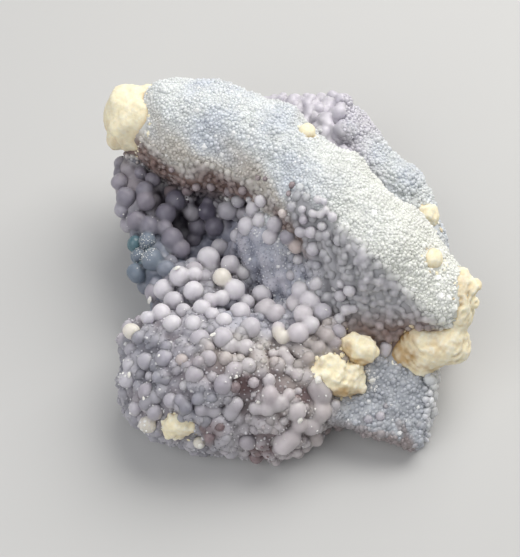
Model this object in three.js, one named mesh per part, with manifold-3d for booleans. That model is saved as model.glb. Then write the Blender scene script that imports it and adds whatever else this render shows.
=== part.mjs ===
// A hand piece of botryoidal chalcedony: a drusy roof ridge over a hollow of grapes, a knob of merged
// grapes in front, a lower ridge behind, and lumps of cream host clay caught in its joints.
// Millimetres, +Z up. The origin is on the flat cut that the stone rests on, under its middle.
import * as THREE from "three";
import { mergeVertices } from "three/addons/utils/BufferGeometryUtils.js";
import Module from "manifold-3d";

// Driving dimensions.
const UNEVENNESS = 0.6; // how far the stone's skin swells and sinks
const BLEND = 5; // reach of the rounding where two lumps of one mass meet
const RIDGE_BLEND = 4; // the same between a ridge's own stretches
const JOINT_BLEND = 2; // the same where two masses meet
const RIDGE_FACET = 5.8; // wished edge length of a facet on a ridge
const CUT_BLEND = 1.5; // reach of the rounding where a flat face trims a lump
const CLAY_FACET = 4; // wished edge length of a facet on a clay lump
const CLAY_GAP = 0.3; // clearance between a clay lump and its socket in the stone
const CLAY_UNEVENNESS = 0.7;
const CLAY_SHRINK = 1.5; // the clay's swells are this much shorter than the stone's
const GRAPE_STAND = 0.4; // a grape's centre above the skin, as a share of its radius
const GRAPE_FINENESS = 1; // how often the faces of a grape's icosahedron are halved
const STONE_REACH = 75; // beyond the stone's farthest point from any point inside it
const ICOSAHEDRON_EDGE = 1.05; // edge of an icosahedron of radius 1
const LEAST_AROUND = 10; // fewest facets around a ridge
const TINY = 1e-6; // keeps a division clear of nought

// The masses of the body. Each is a heap of blended lumps around a heart inside it. A lump is its centre,
// its half axes and its turn about Z in degrees. Its cuts are flat faces that trim it: each is the face's
// outward direction and how far along that the face lies.
const MASSES = {
  front: {
    heart: [-5, -24, 6],
    fineness: 5,
    lumps: {
      knob: { at: [-19.2, -26.8, 11], half: [20.6, 16.2, 16.5], yaw: 3 },
      knobRight: { at: [-3.5, -31, 10], half: [12, 13.4, 13] },
      brow: { at: [-32.5, -20.6, 17], half: [6.6, 6.2, 7.6] },
      saddle: { at: [4, -21, 12], half: [15, 13, 13] },
      hill: { at: [-20, -6, 12], half: [12, 10, 12] },
    },
  },
  toe: {
    heart: [22, -28, 5],
    fineness: 4,
    lumps: {
      slab: {
        at: [21, -28, 5],
        half: [18, 16, 13],
        cuts: [
          [0.144, -0.483, 0.863, 30.3],
          [0.967, -0.247, 0.05, 40.4],
          [-0.361, -0.842, -0.401, 22.8],
        ],
      },
    },
  },
  core: {
    heart: [4, 10, 5],
    fineness: 6,
    lumps: {
      base: { at: [4, 2, 4], half: [39, 37, 13] },
      flank: { at: [20, -3, 14], half: [22, 19, 20] },
      drape: { at: [-2, 8, 15], half: [11, 14, 17] },
      heel: { at: [-18, 32, 12], half: [22, 15, 17] },
      apron: { at: [16, 30, 6], half: [21, 17, 14], yaw: -35 },
    },
  },
  back: {
    heart: [17, 31, 9],
    fineness: 5,
    lumps: {},
    ridges: {
      crest: [
        [0, 46, 18, 8.5],
        [13, 42, 19.3, 10],
        [26, 26.5, 16.5, 9],
        [34, 15, 14, 6.5],
      ],
      skirt: [
        [-2, 46, 7, 9.5],
        [14, 42.5, 7, 10.5],
        [28.5, 27.5, 7, 10],
        [33, 13, 7, 8],
      ],
    },
  },
};

// The ridges that stand free of the masses: each node is a point of the line and the radius there.
const RIDGES = {
  roof: [
    [-37, 37.5, 30.5, 7.8],
    [-29, 36.2, 31.8, 12],
    [-19, 33, 31.4, 14],
    [-6, 27.8, 33.5, 11.5],
    [8, 12, 31.5, 13],
    [22, -2, 29, 13],
    [33, -10.5, 25, 10],
  ],
  pillar: [
    [-40.5, 30, 23, 4],
    [-38, 20, 18, 4.5],
    [-35, 8, 15, 5],
    [-30, -4, 14, 6],
  ],
};

// The host clay: each piece is one or more lumps, as centre, half axes and turn about Z in degrees.
const CAP_FACES = [
  [-0.25, -0.35, 0.9, 34.6],
  [-0.95, -0.2, 0.2, 44.4],
  [-0.2, -0.9, 0.3, -7.4],
];
const CLAY = {
  clay_cap: [
    { at: [-41.4, 36, 34.2], half: [6.8, 7.8, 8.2], cuts: CAP_FACES },
    { at: [-39.6, 40.6, 37.6], half: [5, 4.6, 4.6] },
    { at: [-38.2, 34, 37.2], half: [5.6, 5.6, 5.2], cuts: CAP_FACES },
  ],
  clay_shoulder: [
    { at: [34, -19.5, 17.5], half: [9.8, 7.5, 7.3] },
    { at: [39.5, -12.5, 24], half: [4.8, 7, 9] },
    { at: [26, -21.5, 15.5], half: [4.5, 3.8, 4] },
    { at: [41, -11.5, 28.6], half: [3.4, 3.4, 3.4] },
  ],
  clay_wedge: [
    {
      at: [15.8, -24.4, 21.4],
      half: [5, 3.2, 4.6],
      yaw: -25,
      cuts: [
        [0.1, -0.35, 0.93, 33.2],
        [-0.45, -0.85, 0.25, 21.6],
      ],
    },
  ],
  clay_patch: [
    { at: [8.6, -29.8, 19.8], half: [4.4, 4, 4.4] },
    {
      at: [13.8, -31, 17.6],
      half: [4.8, 4.4, 4.6],
      cuts: [
        [0.15, -0.45, 0.88, 34.4],
        [0.1, -0.93, -0.35, 27.1],
        [0.92, -0.2, 0.33, 28.5],
      ],
    },
  ],
  clay_chip: [{ at: [36, 16.4, 19.6], half: [3.4, 3.6, 3.6] }],
  clay_button: [{ at: [33.4, -8, 36], half: [2.9, 2.9, 2.4] }],
  clay_speck: [{ at: [4.3, 25, 43.1], half: [1.9, 2.6, 2.4] }],
  clay_foot: [{ at: [-26.3, -41.6, 15.5], half: [3.4, 2.8, 3.4] }],
};

// The large grapes are placed as an eye sees them that looks down on the stone from the front. Each is
// millimetres to the right, millimetres up and its radius, on the plane that faces the eye at SIGHT_POINT.
const SIGHT_POINT = new THREE.Vector3(0, 0, 20);
const SIGHT_ELEVATION = 55;
const EYE_DISTANCE = 330;
const EYE_OFFSET = [-7.5, -2.1]; // the eye's own place before that plane, right and up

const SIGHT_TILT = THREE.MathUtils.degToRad(SIGHT_ELEVATION);
const SIGHT_RIGHT = new THREE.Vector3(1, 0, 0);
const SIGHT_UP = new THREE.Vector3(0, Math.sin(SIGHT_TILT), Math.cos(SIGHT_TILT));
const SIGHT_IN = new THREE.Vector3(0, Math.cos(SIGHT_TILT), -Math.sin(SIGHT_TILT));
const UP = new THREE.Vector3(0, 0, 1);

const GRAPES = {
  pillar: [
    [-41.6, 17.1, 2.5],
    [-36.8, 20.1, 2.3],
    [-35.6, 16.9, 2.5],
    [-37.9, 12.6, 2.7],
    [-34.6, 11.2, 2.6],
    [-34.1, 3.5, 2.8],
    [-38.4, -1.3, 2.4],
  ],
  hollow: [
    [-28.4, 17.4, 2.8],
    [-31.4, 14.4, 2.6],
    [-28.9, 8.6, 2.5],
    [-27.3, 5, 2.6],
    [-21, 14.7, 2.5],
    [-23.1, 10.9, 2.4],
    [-18.8, 10.9, 2.5],
    [-15.4, 14.2, 2.8],
  ],
  mound: [
    [-17.5, 5.8, 2.3],
    [-19.7, 2.2, 2.4],
    [-14.8, 1.4, 2.5],
    [-13.8, -4.8, 2.6],
    [-24.2, -5.3, 2.5],
    [-28.1, -2.3, 2.4],
    [-31.8, -4.8, 2.4],
    [-29.1, -7.7, 2.5],
    [-12.5, -10.7, 2.5],
    [-10, -14.3, 2.5],
  ],
  slope: [
    [-7.3, -6.2, 2.5],
    [-6, -10, 2.9],
    [2.8, -5.1, 2.4],
    [5, -7.7, 2.5],
    [1.5, -8.6, 2.6],
    [2, -15.7, 2.6],
    [8.1, -10.6, 2.3],
  ],
  knob: [
    [-22.5, -17.5, 2.4],
    [-16.8, -17, 2.5],
    [-36, -22.7, 2.3],
    [-40.7, -27.8, 2.3],
    [-16.8, -28.6, 2.4],
    [-23.9, -26.2, 2.3],
    [-11.1, -19.4, 2.3],
    [-5.2, -31.3, 2.3],
    [-10.6, -42.7, 2.2],
  ],
  knobEdge: [
    [7.7, -30.8, 2.8],
    [7.6, -35.4, 2.8],
    [1.6, -35.1, 2.4],
    [5.1, -38.9, 2.4],
    [-0.3, -41.9, 3],
  ],
};

const CHALCEDONY_LOOK = { color: 0xb4b4c3, roughness: 0.45, metalness: 0 };
const CLAY_LOOK = { color: 0xe3dcbf, roughness: 0.9, metalness: 0 };

const FOLLOW_STEPS = 90;
const FOLLOW_SHARE = 0.8; // share of the free distance that one step takes
const FOLLOW_BACK = -2; // farthest that one step goes back
const FOLLOW_AHEAD = 6; // farthest that one step goes on

const WAVE_COUNT = 9;
const SHORTEST_WAVE = 9;
const WAVE_SPREAD = 15; // the longest wave is this much longer than the shortest
const WAVE_LAG = 1.7; // radians by which each wave starts after the one before
const GOLDEN_ANGLE = 2.39996;
const GOLDEN_SHARE = 0.618034;

const kernel = await Module();
kernel.setup();

// Plane waves in evenly spread directions, each of its own length, summed to about -1 to 1.
function waves(p, shrink = 1) {
  let sum = 0;
  for (let i = 0; i < WAVE_COUNT; i += 1) {
    const z = 1 - (2 * i + 1) / WAVE_COUNT;
    const flat = Math.sqrt(1 - z * z);
    const turn = GOLDEN_ANGLE * i;
    const length = (SHORTEST_WAVE + WAVE_SPREAD * ((GOLDEN_SHARE * i) % 1)) / shrink;
    const along = flat * (p.x * Math.cos(turn) + p.y * Math.sin(turn)) + z * p.z;
    sum += Math.sin((2 * Math.PI * along) / length + WAVE_LAG * i);
  }
  return sum / Math.sqrt(WAVE_COUNT);
}

// The smaller of two distances, rounded where they are nearly equal.
function smoothMin(a, b, reach) {
  const near = Math.max(reach - Math.abs(a - b), 0) / reach;
  return Math.min(a, b) - (near * near * reach) / 4;
}

// Distance from a point to a lump's surface, negative inside.
function lumpDistance(point, { at, half, yaw = 0, cuts = [] }) {
  const p = point.clone().sub(new THREE.Vector3(...at));
  p.applyAxisAngle(UP, THREE.MathUtils.degToRad(-yaw));
  const size = new THREE.Vector3(...half);
  const scaled = p.clone().divide(size);
  const slope = scaled.clone().divide(size).length();
  const uncut = (scaled.length() * (scaled.length() - 1)) / Math.max(slope, TINY);
  return cuts.reduce((distance, [x, y, z, offset]) => {
    const beyond = new THREE.Vector3(x, y, z).dot(point) - offset;
    return -smoothMin(-distance, -beyond, CUT_BLEND);
  }, uncut);
}

// Distance to a ridge: to the line between each two nodes, less the radius there.
function ridgeDistance(point, nodes) {
  let distance = Infinity;
  for (let i = 0; i + 1 < nodes.length; i += 1) {
    const from = new THREE.Vector3(...nodes[i]);
    const to = new THREE.Vector3(...nodes[i + 1]);
    const share = new THREE.Line3(from, to).closestPointToPointParameter(point, true);
    const radius = THREE.MathUtils.lerp(nodes[i][3], nodes[i + 1][3], share);
    const stretch = from.lerp(to, share).distanceTo(point) - radius;
    distance = i === 0 ? stretch : smoothMin(distance, stretch, RIDGE_BLEND);
  }
  return distance;
}

function massDistance(point, { lumps, ridges = {} }) {
  const distances = [
    ...Object.values(lumps).map((lump) => lumpDistance(point, lump)),
    ...Object.values(ridges).map((nodes) => ridgeDistance(point, nodes)),
  ];
  return distances.reduce((a, b) => smoothMin(a, b, BLEND));
}

// Distance to the skin of the whole stone, masses and ridges together.
function skinDistance(point) {
  const distances = [
    ...Object.values(MASSES).map((mass) => massDistance(point, mass)),
    ...Object.values(RIDGES).map((nodes) => ridgeDistance(point, nodes)),
  ];
  return distances.reduce((a, b) => smoothMin(a, b, JOINT_BLEND)) + UNEVENNESS * waves(point);
}

// Moves a point along a direction until the distance it is given has run out.
function follow(point, direction, gapAt) {
  for (let count = 0; count < FOLLOW_STEPS; count += 1) {
    const step = THREE.MathUtils.clamp(FOLLOW_SHARE * gapAt(point), FOLLOW_BACK, FOLLOW_AHEAD);
    point.addScaledVector(direction, step);
  }
  return point;
}

// Keeps positions only and shares the vertices of neighbouring facets.
function mergedShape(geometry) {
  const bare = geometry.clone();
  bare.deleteAttribute("normal");
  bare.deleteAttribute("uv");
  return mergeVertices(bare);
}

// Swells and sinks a merged shape along its normals.
function roughen(shape, height, shrink) {
  shape.computeVertexNormals();
  const { position, normal } = shape.attributes;
  const vertex = new THREE.Vector3();
  const outward = new THREE.Vector3();
  for (let i = 0; i < position.count; i += 1) {
    vertex.fromBufferAttribute(position, i);
    outward.fromBufferAttribute(normal, i);
    vertex.addScaledVector(outward, -height * waves(vertex, shrink));
    position.setXYZ(i, vertex.x, vertex.y, vertex.z);
  }
  return shape;
}

function solidOf(shape) {
  return new kernel.Manifold(
    new kernel.Mesh({
      numProp: 3,
      vertProperties: Float32Array.from(shape.attributes.position.array),
      triVerts: Uint32Array.from(shape.index.array),
    }),
  );
}

function joined(solids) {
  return solids.reduce((whole, solid) => whole.add(solid));
}

// A mass is a ball of facets around its heart, drawn in until each corner lies on its skin.
function massSolid(mass) {
  const shape = mergedShape(new THREE.IcosahedronGeometry(1, mass.fineness));
  const { position } = shape.attributes;
  const heart = new THREE.Vector3(...mass.heart);
  const inward = new THREE.Vector3();
  for (let i = 0; i < position.count; i += 1) {
    inward.fromBufferAttribute(position, i).negate().normalize();
    const corner = heart.clone().addScaledVector(inward, -STONE_REACH);
    follow(corner, inward, (point) => massDistance(point, mass) + UNEVENNESS * waves(point));
    position.setXYZ(i, corner.x, corner.y, corner.z);
  }
  return solidOf(shape);
}

// A ridge is a capsule bent along a smooth line through its nodes, as thick as they say.
function ridgeSolid(nodes) {
  const line = new THREE.CatmullRomCurve3(nodes.map(([x, y, z]) => new THREE.Vector3(x, y, z)));
  const length = line.getLength();
  const meanRadius = nodes.reduce((sum, node) => sum + node[3], 0) / nodes.length;
  const around = Math.max(LEAST_AROUND, Math.round((2 * Math.PI * meanRadius) / RIDGE_FACET));
  const shape = mergedShape(
    new THREE.CapsuleGeometry(1, length, Math.ceil(around / 4), around, Math.round(length / RIDGE_FACET)),
  );
  const { position } = shape.attributes;
  for (let i = 0; i < position.count; i += 1) {
    const y = position.getY(i);
    const share = THREE.MathUtils.clamp(y / length + 0.5, 0, 1);
    const beyond = y - (share - 0.5) * length;
    const step = share * (nodes.length - 1);
    const before = Math.min(Math.floor(step), nodes.length - 2);
    const radius = THREE.MathUtils.lerp(nodes[before][3], nodes[before + 1][3], step - before);
    const tangent = line.getTangent(share);
    const side = new THREE.Vector3().crossVectors(tangent, UP).normalize();
    const upward = new THREE.Vector3().crossVectors(side, tangent);
    const place = line
      .getPoint(share)
      .addScaledVector(tangent, beyond * radius)
      .addScaledVector(side, position.getX(i) * radius)
      .addScaledVector(upward, position.getZ(i) * radius);
    position.setXYZ(i, place.x, place.y, place.z);
  }
  return solidOf(roughen(shape, UNEVENNESS));
}

// A grape sits where the line of sight through its point of the sight plane meets the skin.
function seatedGrape([across, upward, radius]) {
  const eye = onSightPlane(...EYE_OFFSET).addScaledVector(SIGHT_IN, -EYE_DISTANCE);
  const direction = onSightPlane(across, upward).sub(eye).normalize();
  const place = eye.addScaledVector(direction, EYE_DISTANCE - STONE_REACH);
  follow(place, direction, (point) => skinDistance(point) - radius * GRAPE_STAND);
  const ball = mergedShape(new THREE.IcosahedronGeometry(radius, GRAPE_FINENESS));
  ball.translate(place.x, place.y, place.z);
  return solidOf(ball);
}

function onSightPlane(across, upward) {
  return SIGHT_POINT.clone().addScaledVector(SIGHT_RIGHT, across).addScaledVector(SIGHT_UP, upward);
}

// A clay piece is a few uneven balls, joined. Its socket is the same piece grown by the clearance.
function claySolid(lumps, grow = 0) {
  const balls = lumps.map(({ at, half, yaw = 0, cuts = [] }) => {
    const size = half.map((length) => length + grow);
    const meanRadius = Math.cbrt(size[0] * size[1] * size[2]);
    const fineness = Math.max(1, Math.round((ICOSAHEDRON_EDGE * meanRadius) / CLAY_FACET) - 1);
    const shape = mergedShape(new THREE.IcosahedronGeometry(1, fineness));
    shape.scale(...size);
    shape.rotateZ(THREE.MathUtils.degToRad(yaw));
    shape.translate(...at);
    const ball = solidOf(roughen(shape, CLAY_UNEVENNESS, CLAY_SHRINK));
    return cuts.reduce(
      (rest, [x, y, z, offset]) => rest.trimByPlane([-x, -y, -z], -offset - grow),
      ball,
    );
  });
  return joined(balls);
}

function floorBlock() {
  const block = new THREE.BoxGeometry(2 * STONE_REACH, 2 * STONE_REACH, STONE_REACH);
  block.translate(0, 0, -STONE_REACH / 2);
  return solidOf(mergedShape(block));
}

function chalcedonySolid() {
  const masses = Object.values(MASSES).map(massSolid);
  const ridges = Object.values(RIDGES).map(ridgeSolid);
  const grapes = Object.values(GRAPES).flat().map(seatedGrape);
  const sockets = joined(Object.values(CLAY).map((lumps) => claySolid(lumps, CLAY_GAP)));
  return joined([...masses, ...ridges, ...grapes]).subtract(sockets).subtract(floorBlock());
}

function meshOf(name, solid, look) {
  const { numProp, vertProperties, triVerts } = solid.getMesh();
  const vertices = new THREE.InterleavedBuffer(vertProperties, numProp);
  const geometry = new THREE.BufferGeometry();
  geometry.setAttribute("position", new THREE.InterleavedBufferAttribute(vertices, 3, 0));
  geometry.setIndex(new THREE.BufferAttribute(triVerts, 1));
  geometry.computeVertexNormals();
  const mesh = new THREE.Mesh(geometry, new THREE.MeshStandardMaterial(look));
  mesh.name = name;
  return mesh;
}

const stone = new THREE.Group();
stone.add(meshOf("chalcedony", chalcedonySolid(), CHALCEDONY_LOOK));
for (const [name, lumps] of Object.entries(CLAY)) {
  stone.add(meshOf(name, claySolid(lumps), CLAY_LOOK));
}

export default stone;
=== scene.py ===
import math

import bpy
import numpy as np
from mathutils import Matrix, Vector


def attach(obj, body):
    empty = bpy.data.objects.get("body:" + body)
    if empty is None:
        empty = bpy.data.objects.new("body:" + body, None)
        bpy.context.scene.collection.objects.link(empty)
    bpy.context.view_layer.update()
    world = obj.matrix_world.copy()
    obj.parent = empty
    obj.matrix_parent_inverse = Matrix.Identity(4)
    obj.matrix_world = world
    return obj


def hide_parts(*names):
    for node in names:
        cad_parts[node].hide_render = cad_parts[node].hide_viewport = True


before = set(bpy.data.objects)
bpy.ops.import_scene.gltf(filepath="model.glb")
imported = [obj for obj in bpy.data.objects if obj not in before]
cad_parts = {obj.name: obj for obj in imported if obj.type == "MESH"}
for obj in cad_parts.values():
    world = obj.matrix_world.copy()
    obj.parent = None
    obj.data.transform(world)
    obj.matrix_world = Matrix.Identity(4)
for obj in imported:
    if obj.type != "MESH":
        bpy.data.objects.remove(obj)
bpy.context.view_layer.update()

# The stone.
# Chalcedony, a quartz whose fibres are too fine to see, which grew in a cavity of clay as one body: a knob
# in front, a roof ridge over a hollow, a lower ridge behind. Grapes that merged are part of its skin.
MM = 0.001
UNEVENNESS = 0.6  # how far the skin swells and sinks, in millimetres as all sizes here are
BLEND = 5.0  # reach of the rounding where two lumps of one mass meet
RIDGE_BLEND = 4.0  # the same between a ridge's own stretches
JOINT_BLEND = 2.0  # the same where two masses meet
CUT_BLEND = 1.5  # the same where a flat face trims a lump
CELL = 0.64  # spacing of the lattice on which the skin is found

# A lump is its centre, its half axes and its turn about Z in degrees. Its cuts are flat faces that trim it,
# each the face's outward direction and how far along that it lies. A ridge is points with a radius.
FRONT = [
    ((-19.2, -26.8, 11), (20.6, 16.2, 16.5), 3),
    ((-3.5, -31, 10), (12, 13.4, 13), 0),
    ((-32.5, -20.6, 17), (6.6, 6.2, 7.6), 0),
    ((4, -21, 12), (15, 13, 13), 0),
    ((-20, -6, 12), (12, 10, 12), 0),
]
TOE_CUTS = [
    (0.144, -0.483, 0.863, 30.3),
    (0.967, -0.247, 0.05, 40.4),
    (-0.361, -0.842, -0.401, 22.8),
]
TOE = [((21, -28, 5), (18, 16, 13), 0, TOE_CUTS)]
CORE = [
    ((4, 2, 4), (39, 37, 13), 0),
    ((20, -3, 14), (22, 19, 20), 0),
    ((-2, 8, 15), (11, 14, 17), 0),
    ((-18, 32, 12), (22, 15, 17), 0),
    ((16, 30, 6), (21, 17, 14), -35),
]
BACK_CREST = [(0, 46, 18, 8.5), (13, 42, 19.3, 10), (26, 26.5, 16.5, 9), (34, 15, 14, 6.5)]
BACK_SKIRT = [(-2, 46, 7, 9.5), (14, 42.5, 7, 10.5), (28.5, 27.5, 7, 10), (33, 13, 7, 8)]
ROOF = [
    (-37, 37.5, 30.5, 7.8),
    (-29, 36.2, 31.8, 12),
    (-19, 33, 31.4, 14),
    (-6, 27.8, 33.5, 11.5),
    (8, 12, 31.5, 13),
    (22, -2, 29, 13),
    (33, -10.5, 25, 10),
]
PILLAR = [(-40.5, 30, 23, 4), (-37.3, 20, 18, 4.2), (-33.9, 8, 15, 4.5), (-29.2, -4, 14, 5.6)]

# The waves along which the skin swells and its colours change.
WAVE_COUNT = 9
SHORTEST_WAVE = 9
WAVE_SPREAD = 15  # the longest wave is this much longer than the shortest
WAVE_LAG = 1.7  # radians by which each wave starts after the one before
GOLDEN_ANGLE = 2.39996
GOLDEN_SHARE = 0.618034


def waves(places, shrink=1.0):
    """Sum of nine sines along evenly spread directions, each with its own length, about -1 to 1."""
    total = 0.0
    for i in range(WAVE_COUNT):
        z = 1 - (2 * i + 1) / WAVE_COUNT
        flat = math.sqrt(1 - z * z)
        turn = GOLDEN_ANGLE * i
        length = (SHORTEST_WAVE + WAVE_SPREAD * ((GOLDEN_SHARE * i) % 1)) / shrink
        along = places @ np.array([flat * math.cos(turn), flat * math.sin(turn), z])
        total = total + np.sin(2 * math.pi * along / length + WAVE_LAG * i)
    return total / math.sqrt(WAVE_COUNT)


def smooth_min(a, b, reach):
    """The smaller of two distances, less a rounding where they differ by less than reach."""
    near = np.maximum(reach - np.abs(a - b), 0) / reach
    return np.minimum(a, b) - near * near * reach / 4


def lump_gap(places, at, half, yaw=0.0, cuts=()):
    """Distance to an ellipsoid: the scaled length less one, over how fast that length grows. Where it has
    cuts, the largest of that and the distances to their planes."""
    turn = math.radians(yaw)
    turned = (places - np.array(at)) @ np.array(
        [[math.cos(turn), -math.sin(turn), 0], [math.sin(turn), math.cos(turn), 0], [0, 0, 1]]
    )
    scaled = turned / np.array(half)
    length = np.linalg.norm(scaled, axis=-1)
    slope = np.linalg.norm(scaled / np.array(half), axis=-1)
    gap = length * (length - 1) / np.maximum(slope, 1e-6)
    for *facing, offset in cuts:
        gap = -smooth_min(-gap, offset - places @ np.array(facing), CUT_BLEND)
    return gap


def ridge_gap(places, points):
    """Distance to the line between each two points, less the radius there, smoothly joined."""
    gap = None
    for start, end in zip(points[:-1], points[1:]):
        base = np.array(start[:3], float)
        line = np.array(end[:3], float) - base
        share = np.clip((places - base) @ line / (line @ line), 0, 1)
        radius = start[3] + share * (end[3] - start[3])
        stretch = np.linalg.norm(places - base - share[..., None] * line, axis=-1) - radius
        gap = stretch if gap is None else smooth_min(gap, stretch, RIDGE_BLEND)
    return gap


def joined(gaps, reach):
    """Several distances joined one after the other with smooth_min."""
    whole = gaps[0]
    for gap in gaps[1:]:
        whole = smooth_min(whole, gap, reach)
    return whole


def mass_gaps(places):
    """Distance to each mass of the stone, by name."""
    gaps = {}
    for name, lumps in (("front", FRONT), ("toe", TOE), ("core", CORE)):
        gaps[name] = joined([lump_gap(places, *lump) for lump in lumps], BLEND)
    gaps["back"] = joined([ridge_gap(places, BACK_CREST), ridge_gap(places, BACK_SKIRT)], BLEND)
    gaps["roof"] = ridge_gap(places, ROOF)
    gaps["pillar"] = ridge_gap(places, PILLAR)
    return gaps


def stone_gap(places):
    """Distance to the stone's skin before its grapes: all masses joined, plus the swells."""
    return joined(list(mass_gaps(places).values()), JOINT_BLEND) + UNEVENNESS * waves(places)


def unit(vectors):
    """Each vector over its own length."""
    return vectors / np.maximum(np.linalg.norm(vectors, axis=-1, keepdims=True), 1e-9)


def outward_at(places, reach=0.6):
    """Unit direction in which stone_gap grows fastest, from differences across twice reach."""
    steps = reach * np.eye(3)
    return unit(np.stack([stone_gap(places + step) - stone_gap(places - step) for step in steps], -1))


# The photograph looks down on the stone from the front. The grapes that it shows are measured on the plane
# that faces its eye: millimetres right, millimetres up, and the radius.
SIGHT_POINT = np.array([0.0, 0.0, 20.0])
SIGHT_TILT = math.radians(55)
EYE_DISTANCE = 330.0
EYE_OFFSET = (-7.5, -2.1)
SIGHT_UP = np.array([0, math.sin(SIGHT_TILT), math.cos(SIGHT_TILT)])
SIGHT_IN = np.array([0, math.cos(SIGHT_TILT), -math.sin(SIGHT_TILT)])
FOLLOW_FROM = 75.0  # how far before the sight plane a line of sight is first looked at
FOLLOW_STEPS = 90
FOLLOW_SHARE = 0.8  # how much of the distance that is left each step covers
FOLLOW_LIMITS = (-2, 6)
# A grape's centre above the skin, as a share of its radius: those of the knob and the toe sit deepest.
GRAPE_STANDS = {
    "pillar": 0.6, "glass": 0.6, "hollow": 0.6, "eave": 0.6, "mound": 0.7,
    "slope": 0.6, "lip": 0.4, "toe": 0.2, "knob": 0.2, "brim": 0.75,
}


def on_sight_plane(across, upward):
    """The point of the sight plane that far right of and above its middle."""
    return SIGHT_POINT + np.multiply.outer(across, [1.0, 0, 0]) + np.multiply.outer(upward, SIGHT_UP)


EYE = on_sight_plane(*EYE_OFFSET) - EYE_DISTANCE * SIGHT_IN


def seen_at(places):
    """Where the eye sees a place: millimetres right and up on the sight plane."""
    line = places - EYE
    hit = line * (EYE_DISTANCE / (line @ SIGHT_IN))[..., None] + EYE - SIGHT_POINT
    return hit[..., 0], hit @ SIGHT_UP


def seated(grapes, stand, gap_at=stone_gap):
    """Centres of grapes: each line of sight is followed until the skin is stand radii away, and a line that
    passes the stone by keeps its closest place."""
    grapes = np.array(grapes, float)
    ahead = unit(on_sight_plane(grapes[:, 0], grapes[:, 1]) - EYE)
    centres = EYE + (EYE_DISTANCE - FOLLOW_FROM) * ahead
    seats = centres.copy()
    least = np.full(len(grapes), np.inf)
    for _ in range(FOLLOW_STEPS):
        left = gap_at(centres) - stand * grapes[:, 2]
        nearer = np.abs(left) < least
        seats[nearer] = centres[nearer]
        least = np.minimum(least, np.abs(left))
        centres = centres + np.clip(FOLLOW_SHARE * left, *FOLLOW_LIMITS)[:, None] * ahead
    return seats, grapes[:, 2]


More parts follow.
